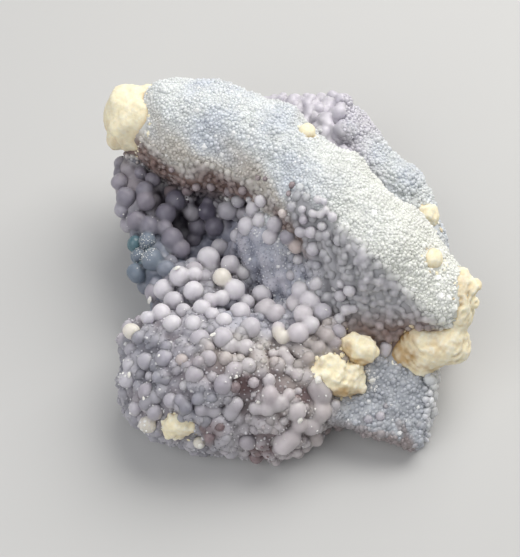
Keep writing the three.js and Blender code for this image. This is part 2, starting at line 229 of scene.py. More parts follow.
# The grapes by where they grow: on the pillar, where one is glassy, in the hollow, under the eave, on the
# mound in front of it, on the slope to its right, under the lip, on the toe, and on the knob and its brim.
GRAPES = {
    "pillar": [
        (-37.3, 24.3, 1.7), (-42.5, 22, 2.3), (-40.9, 18.2, 2.6), (-42, 15, 2.1), (-36.3, 19.9, 2.3),
        (-36, 17.3, 2.6), (-38.3, 12.4, 2.7), (-35.1, 10.8, 2.7), (-34.2, 22.7, 2), (-35.7, 7.4, 2.2),
        (-34.4, 2.5, 2.9), (-38.3, -0.8, 2.6), (-31, 0.3, 2.2), (-31.4, 10.4, 2.2),
    ],
    "glass": [(-38.7, 6.6, 2.2)],
    "hollow": [
        (-28.4, 17.5, 2.7), (-31.1, 14.1, 2.7), (-29.5, 7.7, 2.8), (-27.4, 5.2, 2.6), (-20.7, 14.8, 2.5),
        (-23.1, 10.9, 2.5), (-18.8, 10.9, 2.6), (-23.9, 7.7, 2.2), (-20.4, 17.2, 1.5),
    ],
    "eave": [
        (-15.5, 15.2, 2.8), (-12.9, 17.4, 1.9), (-11.1, 14, 2.2), (-9.1, 15.2, 2), (-10.2, 17.6, 1),
        (-13.3, 13.4, 1.4), (-10.5, 10.9, 2.5), (-7.5, 12.4, 1.9), (-13.2, 8.4, 1.8),
    ],
    "mound": [
        (-17.5, 5.6, 2.4), (-20.4, 3, 2.9), (-14.9, 1.4, 2.5), (-11.7, -0.6, 2.1), (-17, -1.8, 2.3),
        (-13.9, -4.8, 2.6), (-23.9, -1.1, 1.9), (-24.2, -5.1, 2.5), (-27.6, -1.6, 2.6),
        (-31.5, -4.9, 2.6), (-29.1, -7.7, 2.5), (-32.2, -10.7, 2.3), (-22, -9.6, 2.3),
        (-19.4, -11.2, 1.8), (-17.2, -7, 2), (-19.9, -7.7, 2), (-10.8, -8, 2), (-12.5, -10.7, 2.5),
        (-10, -14.3, 2.5), (-26.6, -10.3, 2), (-39.6, -15.2, 2.1), (-35.6, -12, 1.8), (-29.4, -13.5, 2.2),
        (-24.2, -13.5, 2.1), (-16.5, -12.7, 2),
    ],
    "slope": [
        (-7.3, 17.4, 1.6), (-1.8, 14.2, 1.2), (-3.7, 11.5, 2), (-4.8, 8.3, 2), (-0.6, 8.3, 1.9),
        (1.6, 5.9, 1.9), (-7.3, -6.2, 2.5), (-6, -10, 2.9), (-3.5, -11, 2.5), (-3.1, -15.7, 1.6),
        (2.8, -5.1, 2.4), (5, -7.7, 2.5), (1.5, -8.6, 2.5), (3.2, -11.1, 2.4), (5.2, -13.8, 2.2),
        (2, -15.7, 2.6), (8.1, -10.6, 2.3), (6.7, -3.6, 1.8), (12.6, -6.3, 1.4), (14.9, -5.1, 1.4),
        (12.7, -3.2, 1.2), (12.3, -12.2, 1.5), (14, -10, 1.4), (12, -15.5, 1.9), (-1.8, -16.8, 1.8),
        (-16.8, -17, 2.5), (2.2, 2.7, 1.5), (0.5, -1.2, 1.5), (5.7, 5.5, 1.8), (5.2, 9.4, 1.5),
        (8, 11, 1.2), (2.6, 9.5, 1.5), (3.4, 12.6, 1.2), (3, 15.1, 1.1), (5.7, 14.2, 1.1), (7.7, 14, 1.1),
        (10.5, 13.2, 1.2), (8.9, 15, 1), (6.8, 17.5, 1.1), (8.4, 17.2, 1), (11, -4.6, 0.8),
        (15.9, -9.7, 1.1), (-3, -14.7, 1.7),
    ],
    "lip": [
        (-29.8, 19.5, 1.8), (0.5, 21.2, 0.9), (-0.3, 19.1, 0.8), (-8, 23.1, 0.8), (-6.2, 22.8, 0.8),
        (-29.6, 25.2, 0.8), (-28.9, 20, 1.2), (-25.6, 20, 1.5), (-23.4, 20.8, 1.2), (-19.8, 20.8, 1.2),
        (-15.3, 19.8, 1.2), (-11.8, 20.1, 1.2),
    ],
    "toe": [
        (23.8, -19.2, 1.6), (23.5, -20.5, 1.4), (20, -19.4, 0.9), (24.1, -33.9, 0.8), (19.5, -37.3, 1.2),
        (22.5, -36.5, 1.2),
    ],
    "brim": [
        (-35.6, -38.6, 2.1), (-22.6, -43, 1.6), (-40.7, -27.4, 2.1), (-40, -23.6, 1.9),
        (-1.6, -43.8, 2.4),
    ],
    "knob": [
        (-22.5, -17.5, 2.4), (-39.3, -19.7, 1.9), (-36, -22.7, 2.2), (-26.9, -22.7, 1.8),
        (-35.8, -30.5, 2.2), (-29.7, -32.8, 1.9), (-16.8, -28.6, 2.4), (-14.1, -25.1, 2.1),
        (-10.3, -23.8, 2), (-23.9, -26.2, 2.2), (-20.5, -22.1, 2), (-31.5, -22.1, 2.2), (-38.2, -34.6, 2),
        (-22, -34.6, 1.9), (-19.2, -34.9, 1.9), (-13.9, -33.2, 2), (-14.9, -35.4, 2), (-10.6, -42.7, 2.2),
        (-14.9, -45, 2.1), (-15.2, -18.9, 2.2), (-11.1, -19.4, 2.2), (-1.7, -20.5, 1.6),
        (-0.8, -22.7, 1.8), (2, -26.2, 1.8), (7.7, -30.8, 2.8), (6.5, -28.9, 2.5), (7.5, -35.4, 2.8),
        (1.6, -35.2, 2.4), (5.1, -38.9, 2.4), (2.1, -38.7, 2), (-0.3, -31.1, 1.6), (-2.5, -33.5, 2),
        (-5.7, -34.6, 2), (-5.2, -31.3, 2.2), (-5.3, -27.4, 1.6), (-0.3, -41.9, 3), (-3, -44.6, 1.5),
        (-0.8, -46, 1.4), (1.6, -45.3, 1.4), (3.8, -43, 1.5), (-35, -26.5, 1.1), (-26.3, -28.9, 1.2),
        (-13.9, -38.7, 1.1), (-8.7, -39.5, 1.5), (-8.7, -34.3, 1.5), (-9.2, -28.1, 1.4),
        (-9.1, -31.1, 0.8), (-33.6, -35.4, 2), (-4.4, -21, 1.2), (-0.6, -25.1, 1.2), (2.1, -30.2, 1),
        (-8.3, -34.6, 1.4), (-1.7, -37.8, 1.2), (-11.4, -45, 1.5),
    ],
}


def gathered(groups):
    """The centres of several groups of balls in one array, and their radii in another."""
    return [np.concatenate(values) for values in zip(*groups)]


seats = {group: seated(grapes, GRAPE_STANDS[group]) for group, grapes in GRAPES.items()}
grape_centres, grape_radii = gathered(seats.values())
grape_group = np.repeat(list(seats), [len(radii) for _, radii in seats.values()])

# The host clay's lumps, as centre, half axes, turn and cuts: no dome, bead or grain grows where they are.
CAP_FACES = [(-0.25, -0.35, 0.9, 34.6), (-0.95, -0.2, 0.2, 44.4), (-0.2, -0.9, 0.3, -7.4)]
WEDGE_FACES = [(0.1, -0.35, 0.93, 33.2), (-0.45, -0.85, 0.25, 21.6)]
PATCH_FACES = [(0.15, -0.45, 0.88, 34.4), (0.1, -0.93, -0.35, 27.1), (0.92, -0.2, 0.33, 28.5)]
CLAY = {
    "clay_cap": [
        ((-41.4, 36, 34.2), (6.8, 7.8, 8.2), 0, CAP_FACES),
        ((-39.6, 40.6, 37.6), (5, 4.6, 4.6)),
        ((-38.2, 34, 37.2), (5.6, 5.6, 5.2), 0, CAP_FACES),
    ],
    "clay_shoulder": [
        ((34, -19.5, 17.5), (9.8, 7.5, 7.3)),
        ((39.5, -12.5, 24), (4.8, 7, 9)),
        ((26, -21.5, 15.5), (4.5, 3.8, 4)),
        ((41, -11.5, 28.6), (3.4, 3.4, 3.4)),
    ],
    "clay_wedge": [((15.1, -24.2, 21.5), (5.2, 3.2, 4.5), -28, WEDGE_FACES)],
    "clay_patch": [
        ((8.6, -29.8, 19.8), (4.4, 4, 4.4)),
        ((13.8, -31, 17.6), (4.8, 4.4, 4.6), 0, PATCH_FACES),
    ],
    "clay_chip": [((36, 16.4, 19.6), (3.4, 3.6, 3.6))],
    "clay_button": [((33.4, -8, 36), (2.9, 2.9, 2.4))],
    "clay_speck": [((4.3, 25, 43.1), (1.9, 2.6, 2.4))],
    "clay_foot": [((-26.3, -41.6, 15.5), (3.4, 2.8, 3.4))],
}


def clay_gap(places):
    """Distance to the nearest clay lump."""
    gaps = [lump_gap(places, *lump) for lumps in CLAY.values() for lump in lumps]
    return np.minimum.reduce(gaps)


# The lattice that holds the stone. Its cells are where the skin's corners are found.
LATTICE_LOW = np.array([-50.0, -50.0, -2 * CELL])
LATTICE_SIZE = (97.0, 111.0, 50.0)
lattice_axes = [low + np.arange(0, size, CELL) for low, size in zip(LATTICE_LOW, LATTICE_SIZE)]


def lattice_field(gap_at):
    """gap_at worked out at all lattice points, one layer of constant x after another."""
    across, upward = np.meshgrid(lattice_axes[1], lattice_axes[2], indexing="ij")
    layers = [
        gap_at(np.stack([np.full_like(across, x), across, upward], -1)) for x in lattice_axes[0]
    ]
    return np.stack(layers)


def edge_crossings(field, axis):
    """Lattice edges along one axis whose ends differ in sign: the start's index, the share along the edge
    where the skin crosses it, and whether the start is inside."""
    inside = np.moveaxis(field < 0, axis, 0)
    found = np.argwhere(inside[:-1] != inside[1:])
    order = [axis] + [other for other in range(3) if other != axis]
    index = np.empty_like(found)
    index[:, order] = found
    first = field[tuple(index.T)]
    second = field[tuple((index + np.eye(3, dtype=int)[axis]).T)]
    return index, first / (first - second), first < 0


def crossing_places(field, lattice_low, cell_size):
    """All places where a lattice's edges cross the skin."""
    crossed = []
    for axis in range(3):
        index, share, _ = edge_crossings(field, axis)
        crossed.append(index + share[:, None] * np.eye(3)[axis])
    return lattice_low + cell_size * np.concatenate(crossed)


def wrapped(field, lattice_low, cell_size):
    """Surface nets: each lattice cell that the skin passes has one corner, at the mean of the places where
    its edges cross the skin, and each crossed edge has one face, between the four cells around it."""
    cells = tuple(np.array(field.shape) - 1)
    weight = np.zeros(np.prod(cells))
    total = np.zeros((len(weight), 3))
    faces = []
    for axis in range(3):
        index, share, outward = edge_crossings(field, axis)
        along = np.eye(3, dtype=int)
        one, two = along[(axis + 1) % 3], along[(axis + 2) % 3]
        place = index + share[:, None] * along[axis]
        around = [index - one - two, index - two, index, index - one]
        ids = [np.ravel_multi_index(tuple(cell.T), cells) for cell in around]
        for cell in ids:
            weight += np.bincount(cell, minlength=len(weight))
            for column in range(3):
                total[:, column] += np.bincount(cell, place[:, column], len(weight))
        face = np.stack(ids, 1)
        face[~outward] = face[~outward][:, ::-1]
        faces.append(face)
    used = np.flatnonzero(weight)
    number = np.full(len(weight), -1)
    number[used] = np.arange(len(used))
    corners = lattice_low + cell_size * total[used] / weight[used][:, None]
    return corners, number[np.concatenate(faces)]


def sampled(field, places, lattice_low, cell_size):
    """The lattice's value at places, linear between its points, and how it rises there."""
    step = (places - lattice_low) / cell_size
    base = np.clip(np.floor(step).astype(int), 0, np.array(field.shape) - 2)
    part = step - base
    value = 0.0
    rise = np.zeros_like(places)
    for corner in np.ndindex(2, 2, 2):
        shares = np.where(corner, part, 1 - part)
        there = field[tuple((base + corner).T)]
        value = value + there * shares.prod(1)
        for column in range(3):
            others = np.delete(shares, column, 1).prod(1)
            rise[:, column] += there * others * (1 if corner[column] else -1)
    return value, rise / cell_size


def settled(field, places, lattice_low, cell_size):
    """Places moved along the field's rise on to its skin, and the skin's outward direction there."""
    left, rise = sampled(field, places, lattice_low, cell_size)
    steps = np.clip(left / np.maximum((rise * rise).sum(1), 0.2), -cell_size, cell_size)
    return places - steps[:, None] * rise, unit(rise)


def add_balls(field, lattice_low, cell_size, centres, radii, reach):
    """Joins balls to a field, each in the block of the lattice around it."""
    margin = 1.5 * reach + 2 * cell_size
    for centre, radius in zip(centres, radii):
        low = np.floor((centre - radius - margin - lattice_low) / cell_size).astype(int).clip(0)
        high = np.ceil((centre + radius + margin - lattice_low) / cell_size).astype(int)
        block = tuple(slice(start, end) for start, end in zip(low, high))
        axes = [
            origin + cell_size * np.arange(size)[part]
            for origin, size, part in zip(lattice_low, field.shape, block)
        ]
        near = np.stack(np.meshgrid(*axes, indexing="ij"), -1)
        gap = np.linalg.norm(near - centre, axis=-1) - radius
        field[block] = smooth_min(field[block], gap, reach)


SEED = 11
draw = np.random.default_rng(SEED)


def spread(places, spacing):
    """Numbers of places at least one spacing apart. One place of each small cube draws a lot; in each of
    a few rounds the place with the lowest lot within one spacing stays and its neighbours leave."""
    order = draw.permutation(len(places))
    # The three numbers of a place's cube are packed into one key.
    cubes = np.floor(places[order] / (spacing / 2)).astype(np.int64) + (1 << 11)
    weights = np.array([1 << 26, 1 << 13, 1])
    keys, first = np.unique(cubes @ weights, return_index=True)
    chosen = order[first]
    points = places[chosen]
    lot = draw.permutation(len(chosen))
    pairs = []
    for step in np.ndindex(5, 5, 5):
        jump = (np.array(step) - 2) @ weights
        if jump <= 0:
            continue
        match = np.searchsorted(keys, keys + jump).clip(max=len(keys) - 1)
        one = np.flatnonzero(keys[match] == keys + jump)
        apart = np.linalg.norm(points[one] - points[match[one]], axis=1)
        near = apart < spacing
        pairs.append(np.stack([one[near], match[one][near]]))
    one, two = np.concatenate(pairs, 1)
    waiting = np.ones(len(chosen), bool)
    kept = np.zeros(len(chosen), bool)
    for _ in range(6):
        both = waiting[one] & waiting[two]
        loser = np.where(lot[one] < lot[two], two, one)[both]
        winner = waiting.copy()
        winner[loser] = False
        kept |= winner
        waiting &= ~winner
        waiting[two[kept[one]]] = False
        waiting[one[kept[two]]] = False
    return chosen[kept]


def clear_of(places, centres, room):
    """Whether each place is farther than room from every centre."""
    free = np.ones(len(places), bool)
    for part in np.array_split(np.arange(len(places)), max(1, len(places) // 2000)):
        apart = np.linalg.norm(places[part][:, None] - centres[None], axis=-1)
        free[part] = (apart > room).all(1)
    return free


base_field = lattice_field(lambda places: np.maximum(stone_gap(places), -places[..., 2]))
base_places = crossing_places(base_field, LATTICE_LOW, CELL)
FOOT = 1.0  # no dome, and no bead or frost on the knob, has its seat lower than this
base_places = base_places[base_places[:, 2] > FOOT]


def soft_step(value, low, high):
    """0 below low, 1 above high, smooth between."""
    share = np.clip((value - low) / (high - low), 0, 1)
    return share * share * (3 - 2 * share)


def nearest_mass(places):
    """Name of the mass whose skin is nearest to each place."""
    gaps = mass_gaps(places)
    return np.array(list(gaps))[np.argmin(np.stack(list(gaps.values())), axis=0)]


def within(places, across, upward, radius):
    """1 in the middle of an upright oval of the sight plane, fading to 0 at one and a half its radii."""
    seen_across, seen_upward = seen_at(places)
    far = np.hypot((seen_across - across) / radius[0], (seen_upward - upward) / radius[1])
    return 1 - soft_step(far, 0.8, 1.5)


# Merged grapes: domes that stand partly out of the skin, as their spacing, their radii and how far their
# centres stand above it in shares of the radius. They cover the back ridge's upper end, which is the most
# lilac, the left side, the knob, the pillar, the hollow's back wall and the toe.
DOMES = {
    "lilac_end": (3.1, (2.0, 2.8), (0.0, 0.4)),
    "left_side": (3.2, (1.8, 2.8), (-0.3, 0.35)),
    "knob": (2.5, (1.4, 2.3), (-0.3, 0.25)),
    "pillar": (2.8, (1.7, 2.5), (-0.7, -0.2)),
    "wall": (2.7, (1.6, 2.5), (-0.4, 0.1)),
    "toe": (3.2, (1.6, 2.6), (-0.8, -0.45)),
}
DOME_BLEND = 0.9
DOME_TO_CLAY = 1.2  # how far a dome's seat is from the clay, at the least
DOME_TO_GRAPE = 1.8  # the same between a dome's centre and a grape's
# Lobes that run down the hollow's back wall like a drape: both ends on the sight plane and the radius.
LOBES = [
    ((-17, 12), (-12, -4), 1.9), ((-12.6, 11), (-8.4, -2.5), 1.8), ((-8, 12), (-4.2, -4), 2.0),
    ((-3.4, 8), (-0.4, -5), 1.9), ((1, 6.5), (3.2, -4), 1.7), ((5.4, 7), (7.8, -4.5), 1.7),
    ((9.4, 9.5), (11.8, -4), 1.5), ((13, 10.5), (15.6, -2.5), 1.5), ((17, 6.5), (19.4, -4), 1.4),
]
LOBE_STEP = 0.8
LOBE_STAND = -0.1
LOBE_BLEND = 0.8
LOBE_SWAY = 0.5  # how far a lobe sways to each side
LOBE_TURN = 5.0  # radians of the sway from its upper to its lower end
LOBE_SWELL = 0.2  # how much it swells, as a share of its radius
LOBE_SWELLS = 3.3  # how often it swells while it sways once


def lobe(start, end, radius):
    """Balls along a lobe, which swells and sways a little on its way down."""
    count = int(math.dist(start, end) / LOBE_STEP)
    line = np.linspace(start, end, count)
    turn = np.linspace(0, LOBE_TURN, count) + start[0]
    line[:, 0] += LOBE_SWAY * np.sin(turn)
    thick = radius * (1 + LOBE_SWELL * np.sin(LOBE_SWELLS * turn))
    return seated(np.column_stack([line, thick]), LOBE_STAND)


def stood(places, outward, radius, stands):
    """Places lifted out of the skin, each by a random share of its radius."""
    lift = draw.uniform(*stands, len(places)) * radius
    return places + lift[:, None] * outward


def domes_on(where, spacing, radii, stands):
    """Centres and radii of domes, at least one spacing apart on the skin where a mask says so."""
    places = base_places[where]
    places = places[spread(places, spacing)]
    radius = draw.uniform(*radii, len(places))
    return stood(places, outward_at(places), radius, stands), radius


base_mass = nearest_mass(base_places)
base_x, base_y, base_z = base_places.T
base_clear = clay_gap(base_places) > DOME_TO_CLAY
on_knob = (base_mass == "front") & (base_y < -9)
dome_masks = {
    "lilac_end": (base_mass == "back") & (base_x < 15) & (base_z > 9),
    "left_side": (base_mass == "core") & (base_x < -12) & (base_y > 12),
    "knob": on_knob,
    "pillar": base_mass == "pillar",
    "wall": (base_mass == "core") & (abs(base_x + 3) < 11) & (base_y < 16),
    "toe": base_mass == "toe",
}
dome_groups = [domes_on(dome_masks[name] & base_clear, *sizes) for name, sizes in DOMES.items()]
dome_centres, dome_radii = gathered(dome_groups)
free = clear_of(dome_centres, grape_centres, DOME_TO_GRAPE)

skin_field = base_field.copy()
add_balls(skin_field, LATTICE_LOW, CELL, dome_centres[free], dome_radii[free], DOME_BLEND)
for ends in LOBES:
    add_balls(skin_field, LATTICE_LOW, CELL, *lobe(*ends), LOBE_BLEND)
skin_field = np.maximum(skin_field, -lattice_axes[2])
skin_places, skin_faces = wrapped(skin_field, LATTICE_LOW, CELL)
above = skin_places[:, 2] > CELL
on_skin, skin_outward = settled(skin_field, skin_places, LATTICE_LOW, CELL)
skin_places[above] = on_skin[above]
COARSE_RELIEF = 0.16
FINE_RELIEF = 0.06
drusy = np.isin(nearest_mass(skin_places), ["roof", "toe"]) | (skin_places[:, 0] > 20)
relief = COARSE_RELIEF * drusy * waves(skin_places, 4.5) + FINE_RELIEF * waves(skin_places, 11.0)
skin_places[above] += (relief[:, None] * skin_outward)[above]


# The stone's colours, as they look in daylight, and where each lies.
def paint(red, green, blue):
    """A colour of 0 to 255 as the light it reflects, 0 to 1."""
    share = np.array([red, green, blue]) / 255
    return np.where(share <= 0.04045, share / 12.92, ((share + 0.055) / 1.055) ** 2.4)


SUGAR = paint(230, 234, 234)
SUGAR_BLUE = paint(211, 217, 226)
SUGAR_WARM = paint(241, 242, 233)
LILAC = paint(214, 210, 219)
PALE_LILAC = paint(214, 210, 216)
MAUVE = paint(170, 161, 166)
KNOB_GREY = paint(154, 153, 161)
KNOB_WARM = paint(174, 166, 162)
WALL_BLUE = paint(166, 170, 184)
# Painted shade of the hollow's wall under the roof.
WALL_SHADE = paint(140, 143, 160)
SLATE = paint(128, 134, 148)
FLANK_GREY = paint(170, 170, 174)
LIP_BROWN = paint(130, 108, 100)
LIP_BEIGE = paint(206, 196, 182)
TEAL = paint(96, 124, 132)
TOE_GREY = paint(178, 182, 189)
# Painted shade: near black with a purple tint, for crevices, valleys, the hollow's darkest gap and the
# grapes' feet and creases.
CREVICE_SHADE = paint(40, 30, 42)
MAROON = paint(104, 72, 70)
UNDERSIDE = paint(150, 140, 138)

# Patches of the knob that are bluer, warmer or stained: millimetres right and up as the eye sees them,
# their radii, the colour and how strong it is.
KNOB_PATCHES = [
    ((-6, -10), (10, 8), WALL_BLUE, 0.7), ((-36, -23), (8, 6), SLATE, 0.3),
    ((-12, -20.5), (9, 4.5), LIP_BEIGE, 0.45), ((-4, -42), (8, 5), MAUVE, 0.4),
    ((-24, -33), (5, 4), SLATE, 0.3), ((-19.5, -40), (2.6, 2.2), MAROON, 0.75),
    ((-7, -45.5), (3.6, 1.6), MAROON, 0.75), ((-12, -28.5), (3, 2.2), MAROON, 0.7),
    ((3, -31.5), (2.2, 2), MAROON, 0.6),
]
PILLAR_RIGHT = -25  # what is teal lies left of this
# Below this, the hollow's wall and gap have painted shade.
ROOF_FOOT = 30  # what is dusky in the hollow lies lower than this
# The same for the hollow: its teal left side, and painted shade on its wall and in its darkest gap. Each ends
# at a limit along X, number 0, or Z, number 2.
HOLLOW_PATCHES = [
    ((-37.5, 4), (3, 4), TEAL, 0.75, 0, PILLAR_RIGHT),
    ((-19, 6.5), (8, 5), WALL_SHADE, 0.8, 2, ROOF_FOOT),
    ((-24, 14.5), (9, 5.5), CREVICE_SHADE, 0.88, 2, ROOF_FOOT),
]

# Where the druse of the roof ridge gives way to beads below it: millimetres right and up as the eye sees
# them.
BEAD_LINE = ((-2, 17.5), (3, 19.5), (8, 14), (14, 9.5), (20, 4.5), (27, -3), (32, -9), (38, -15))
BEAD_MARGIN = 2.6
MASS_FADE = 0.9  # how softly the colours of two masses meet


def below_crest(places):
    """1 below the line where the beads begin, 0 above it and to its left, smooth over the margin."""
    across, upward = seen_at(places)
    line = np.interp(across, *zip(*BEAD_LINE))
    return soft_step(line - upward, -BEAD_MARGIN, BEAD_MARGIN) * soft_step(across, -4, 1)


def mixed(first, second, share):
    """The first colour, drawn towards the second by a share."""
    return first + (second - first) * np.asarray(share)[..., None]


def openness(places, outward):
    """How open the stone is around a place: the skin's distance some way out, over that way."""
    ways = (2.0, 5.0, 9.0)
    reach = [np.clip(stone_gap(places + way * outward) / way, -0.3, 1) for way in ways]
    return np.clip(np.mean(reach, axis=0), 0, 1)


def roof_colour(places, outward, sugar, flank):
    """Sugar that is warmer to the right, beads below its crest, brown and beige under its eave."""
    across, _ = seen_at(places)
    down = soft_step(-outward[:, 2], -0.6, 0.0)
    eave = (1 - soft_step(across, 0, 10)) * (1 - 0.75 * soft_step(outward[:, 1], -0.1, 0.5))
    colour = mixed(sugar, SUGAR_WARM, 0.85 * soft_step(across, -8, 32))
    colour = mixed(colour, LIP_BEIGE, 0.8 * eave * soft_step(-outward[:, 2], -0.85, -0.45))
    below = mixed(flank, LIP_BROWN, down * eave)
    return mixed(colour, below, np.maximum(down * eave, below_crest(places)))


def knob_colour(places, slow, fine):
    """Grey that is warmer to the right, mauve along slow waves, with the knob's patches."""
    across, _ = seen_at(places)
    colour = mixed(KNOB_GREY, KNOB_WARM, soft_step(across, -22, 2))
    colour = mixed(colour, MAUVE, 0.6 * soft_step(slow + 0.5 * fine, 0, 1.4))
    for spot, size, stain, strength in KNOB_PATCHES:
        colour = mixed(colour, stain, strength * within(places, *spot, size))
    return colour


def toe_colour(places, outward):
    """Grey, warm sugar at its right edge and brown low at its left side."""
    across, upward = seen_at(places)
    colour = mixed(TOE_GREY, SUGAR_WARM, 0.8 * soft_step(across, 33, 37))
    turned_left = soft_step(-outward[:, 1] - outward[:, 0], 0.1, 0.9)
    return mixed(colour, LIP_BROWN, 0.7 * turned_left * soft_step(-upward, 34, 42))


def stone_colour(places, outward):
    """Colour of the stone at places: each mass has its own, mixed where they meet by how much nearer one is,
    and warmer or bluer along slow waves."""
    slow = waves(places + 40, 0.9)
    fine = waves(places - 25, 3.1)
    across, upward = seen_at(places)
    sugar = mixed(SUGAR, SUGAR_BLUE, soft_step(slow + 0.4 * fine, -1.2, 1.8))
    flank = mixed(FLANK_GREY, LIP_BROWN, soft_step(-8 - upward, 0, 8))
    core = mixed(WALL_BLUE, flank, soft_step(across, 2, 10))
    colours = {
        "front": knob_colour(places, slow, fine),
        "toe": toe_colour(places, outward),
        "core": mixed(core, mixed(sugar, LILAC, 0.4), soft_step(places[:, 1], 18, 30)),
        "back": 0.93 * mixed(sugar, LILAC, 1 - soft_step(places[:, 0] + 3 * slow, 14, 27)),
        "roof": roof_colour(places, outward, sugar, flank),
        "pillar": mixed(MAUVE, SLATE, 1 - 0.8 * soft_step(places[:, 1], 6, 24)),
    }
    gaps = mass_gaps(places)
    nearest = np.minimum.reduce(list(gaps.values()))
    shares = {name: np.exp(-(gap - nearest) / MASS_FADE) for name, gap in gaps.items()}
    colour = sum(share[:, None] * colours[name] for name, share in shares.items())
    colour = colour / sum(shares.values())[:, None]
    # The teal is the stone's own colour; the wall and the darkest gap get painted shade.
    for spot, size, stain, strength, axis, limit in HOLLOW_PATCHES:
        here = within(places, *spot, size) * (places[:, axis] < limit)
        colour = mixed(colour, stain, strength * here)
    return colour * (1 + 0.04 * fine)[:, None]


def shaded(colour, places, outward, strength=0.9):
    """A colour with painted shade: drawn towards a near-black purple where the stone closes in, less so
    behind.
    """
    closed = 1 - soft_step(openness(places, outward), 0.1, 0.8)
    behind = soft_step(places[:, 1] - 0.6 * places[:, 2], 12, 20)
    return mixed(colour, CREVICE_SHADE, strength * closed * (1 - 0.65 * behind))


def mesh_piece(name, places, faces, colour, material, smooth=True):
    """A piece from millimetre places, faces with equally many corners and a colour for each place. What would
    reach below the ground is laid flat on it, and the piece rides on root."""
    mesh = bpy.data.meshes.new(name)
    places = np.maximum(places, (-np.inf, -np.inf, 0))
    mesh.vertices.add(len(places))
    mesh.vertices.foreach_set("co", (places * MM).astype(np.float32).ravel())
    mesh.loops.add(faces.size)
    mesh.loops.foreach_set("vertex_index", faces.astype(np.int32).ravel())
    mesh.polygons.add(len(faces))
    mesh.polygons.foreach_set("loop_start", np.arange(0, faces.size, faces.shape[1], dtype=np.int32))
    mesh.polygons.foreach_set("use_smooth", np.full(len(faces), smooth))
    mesh.update(calc_edges=True)
    tint = mesh.attributes.new("tint", "FLOAT_COLOR", "POINT")
    rgba = np.ones((len(places), 4), np.float32)
    rgba[:, :3] = np.clip(colour, 0, 1)
    tint.data.foreach_set("color", rgba.ravel())
    mesh.materials.append(material)
    piece = bpy.data.objects.new(name, mesh)
    bpy.context.scene.collection.objects.link(piece)
    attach(piece, "root")
    return piece


def new_material(name):
    """A material with one principled shader, its node tree and the shader."""
    material = bpy.data.materials.new(name)
    material.use_nodes = True
    tree = material.node_tree
    tree.nodes.clear()
    output = tree.nodes.new("ShaderNodeOutputMaterial")
    shader = tree.nodes.new("ShaderNodeBsdfPrincipled")
    tree.links.new(shader.outputs["BSDF"], output.inputs["Surface"])
    return material, tree, shader


def set_inputs(node, **values):
    """Sets a node's sockets: each is named by its label, with _ for a space."""
    for label, value in values.items():
        node.inputs[label.replace("_", " ")].default_value = value


def noise_on(tree, scale, detail, roughness=0.5):
    """A cloudy noise over the piece's own place."""
    place = tree.nodes.new("ShaderNodeTexCoord")
    noise = tree.nodes.new("ShaderNodeTexNoise")
    set_inputs(noise, Scale=scale, Detail=detail, Roughness=roughness)
    tree.links.new(place.outputs["Object"], noise.inputs["Vector"])
    return noise.outputs["Fac"]


def ranged(tree, noise, low, high, start=0.3, end=0.7):
    """A noise's values from start to end, spread over low to high."""
    spreader = tree.nodes.new("ShaderNodeMapRange")
    set_inputs(spreader, From_Min=start, From_Max=end, To_Min=low, To_Max=high)
    tree.links.new(noise, spreader.inputs["Value"])
    return spreader.outputs["Result"]


def connect_look(tree, shader, light, gloss, relief, strength, height):
    """The piece's tint times light, gloss as its roughness, and relief of a height in millimetres."""
    tint = tree.nodes.new("ShaderNodeAttribute")
    tint.attribute_name = "tint"
    colour = tree.nodes.new("ShaderNodeVectorMath")
    colour.operation = "SCALE"
    bump = tree.nodes.new("ShaderNodeBump")
    set_inputs(bump, Strength=strength, Distance=height * MM)
    tree.links.new(tint.outputs["Color"], colour.inputs[0])
    tree.links.new(light, colour.inputs["Scale"])
    tree.links.new(relief, bump.inputs["Height"])
    tree.links.new(colour.outputs["Vector"], shader.inputs["Base Color"])
    tree.links.new(gloss, shader.inputs["Roughness"])
    tree.links.new(bump.outputs["Normal"], shader.inputs["Normal"])


def stone_material(name, roughness, wax, depth, grain, grain_height, mottle):
    """Chalcedony: its own tint, mottled by a cloudy noise, waxy below the surface, with a fine grain in
    height and in roughness."""
    material, tree, shader = new_material(name)
    light = ranged(tree, noise_on(tree, scale=420, detail=4), 1 - mottle, 1 + mottle)
    fine = noise_on(tree, grain, detail=3)
    gloss = ranged(tree, fine, roughness - 0.1, roughness + 0.12)
    connect_look(tree, shader, light, gloss, fine, strength=0.6, height=grain_height)
    set_inputs(shader, IOR=1.54, Subsurface_Weight=wax, Subsurface_Scale=depth * MM)
    set_inputs(shader, Subsurface_Radius=(1.0, 0.95, 1.05))
    return material


skin_look = stone_material(
    "Chalcedony_skin", roughness=0.45, wax=0.6, depth=1.4, grain=2600, grain_height=0.12, mottle=0.1
)
skin_gaps = mass_gaps(skin_places)
skin_height = stone_gap(skin_places)
front_share = 1 - soft_step(skin_gaps["front"] - np.minimum.reduce(list(skin_gaps.values())), 0, 2)
maroon_shade_share = front_share * (0.4 + 0.6 * within(skin_places, -10, -33, (10, 14)))
drape_share = within(skin_places, 1, 3, (17, 9)) * (nearest_mass(skin_places) == "core")
valley = 1 - soft_step(skin_height, 0.1, 1.1)
tips = soft_step(skin_height, 0.7, 2.2)
skin_colour = stone_colour(skin_places, skin_outward)
skin_colour = mixed(skin_colour, PALE_LILAC, 0.45 * tips)
# Painted shade where the stone closes in.
skin_colour = shaded(skin_colour, skin_places, skin_outward)
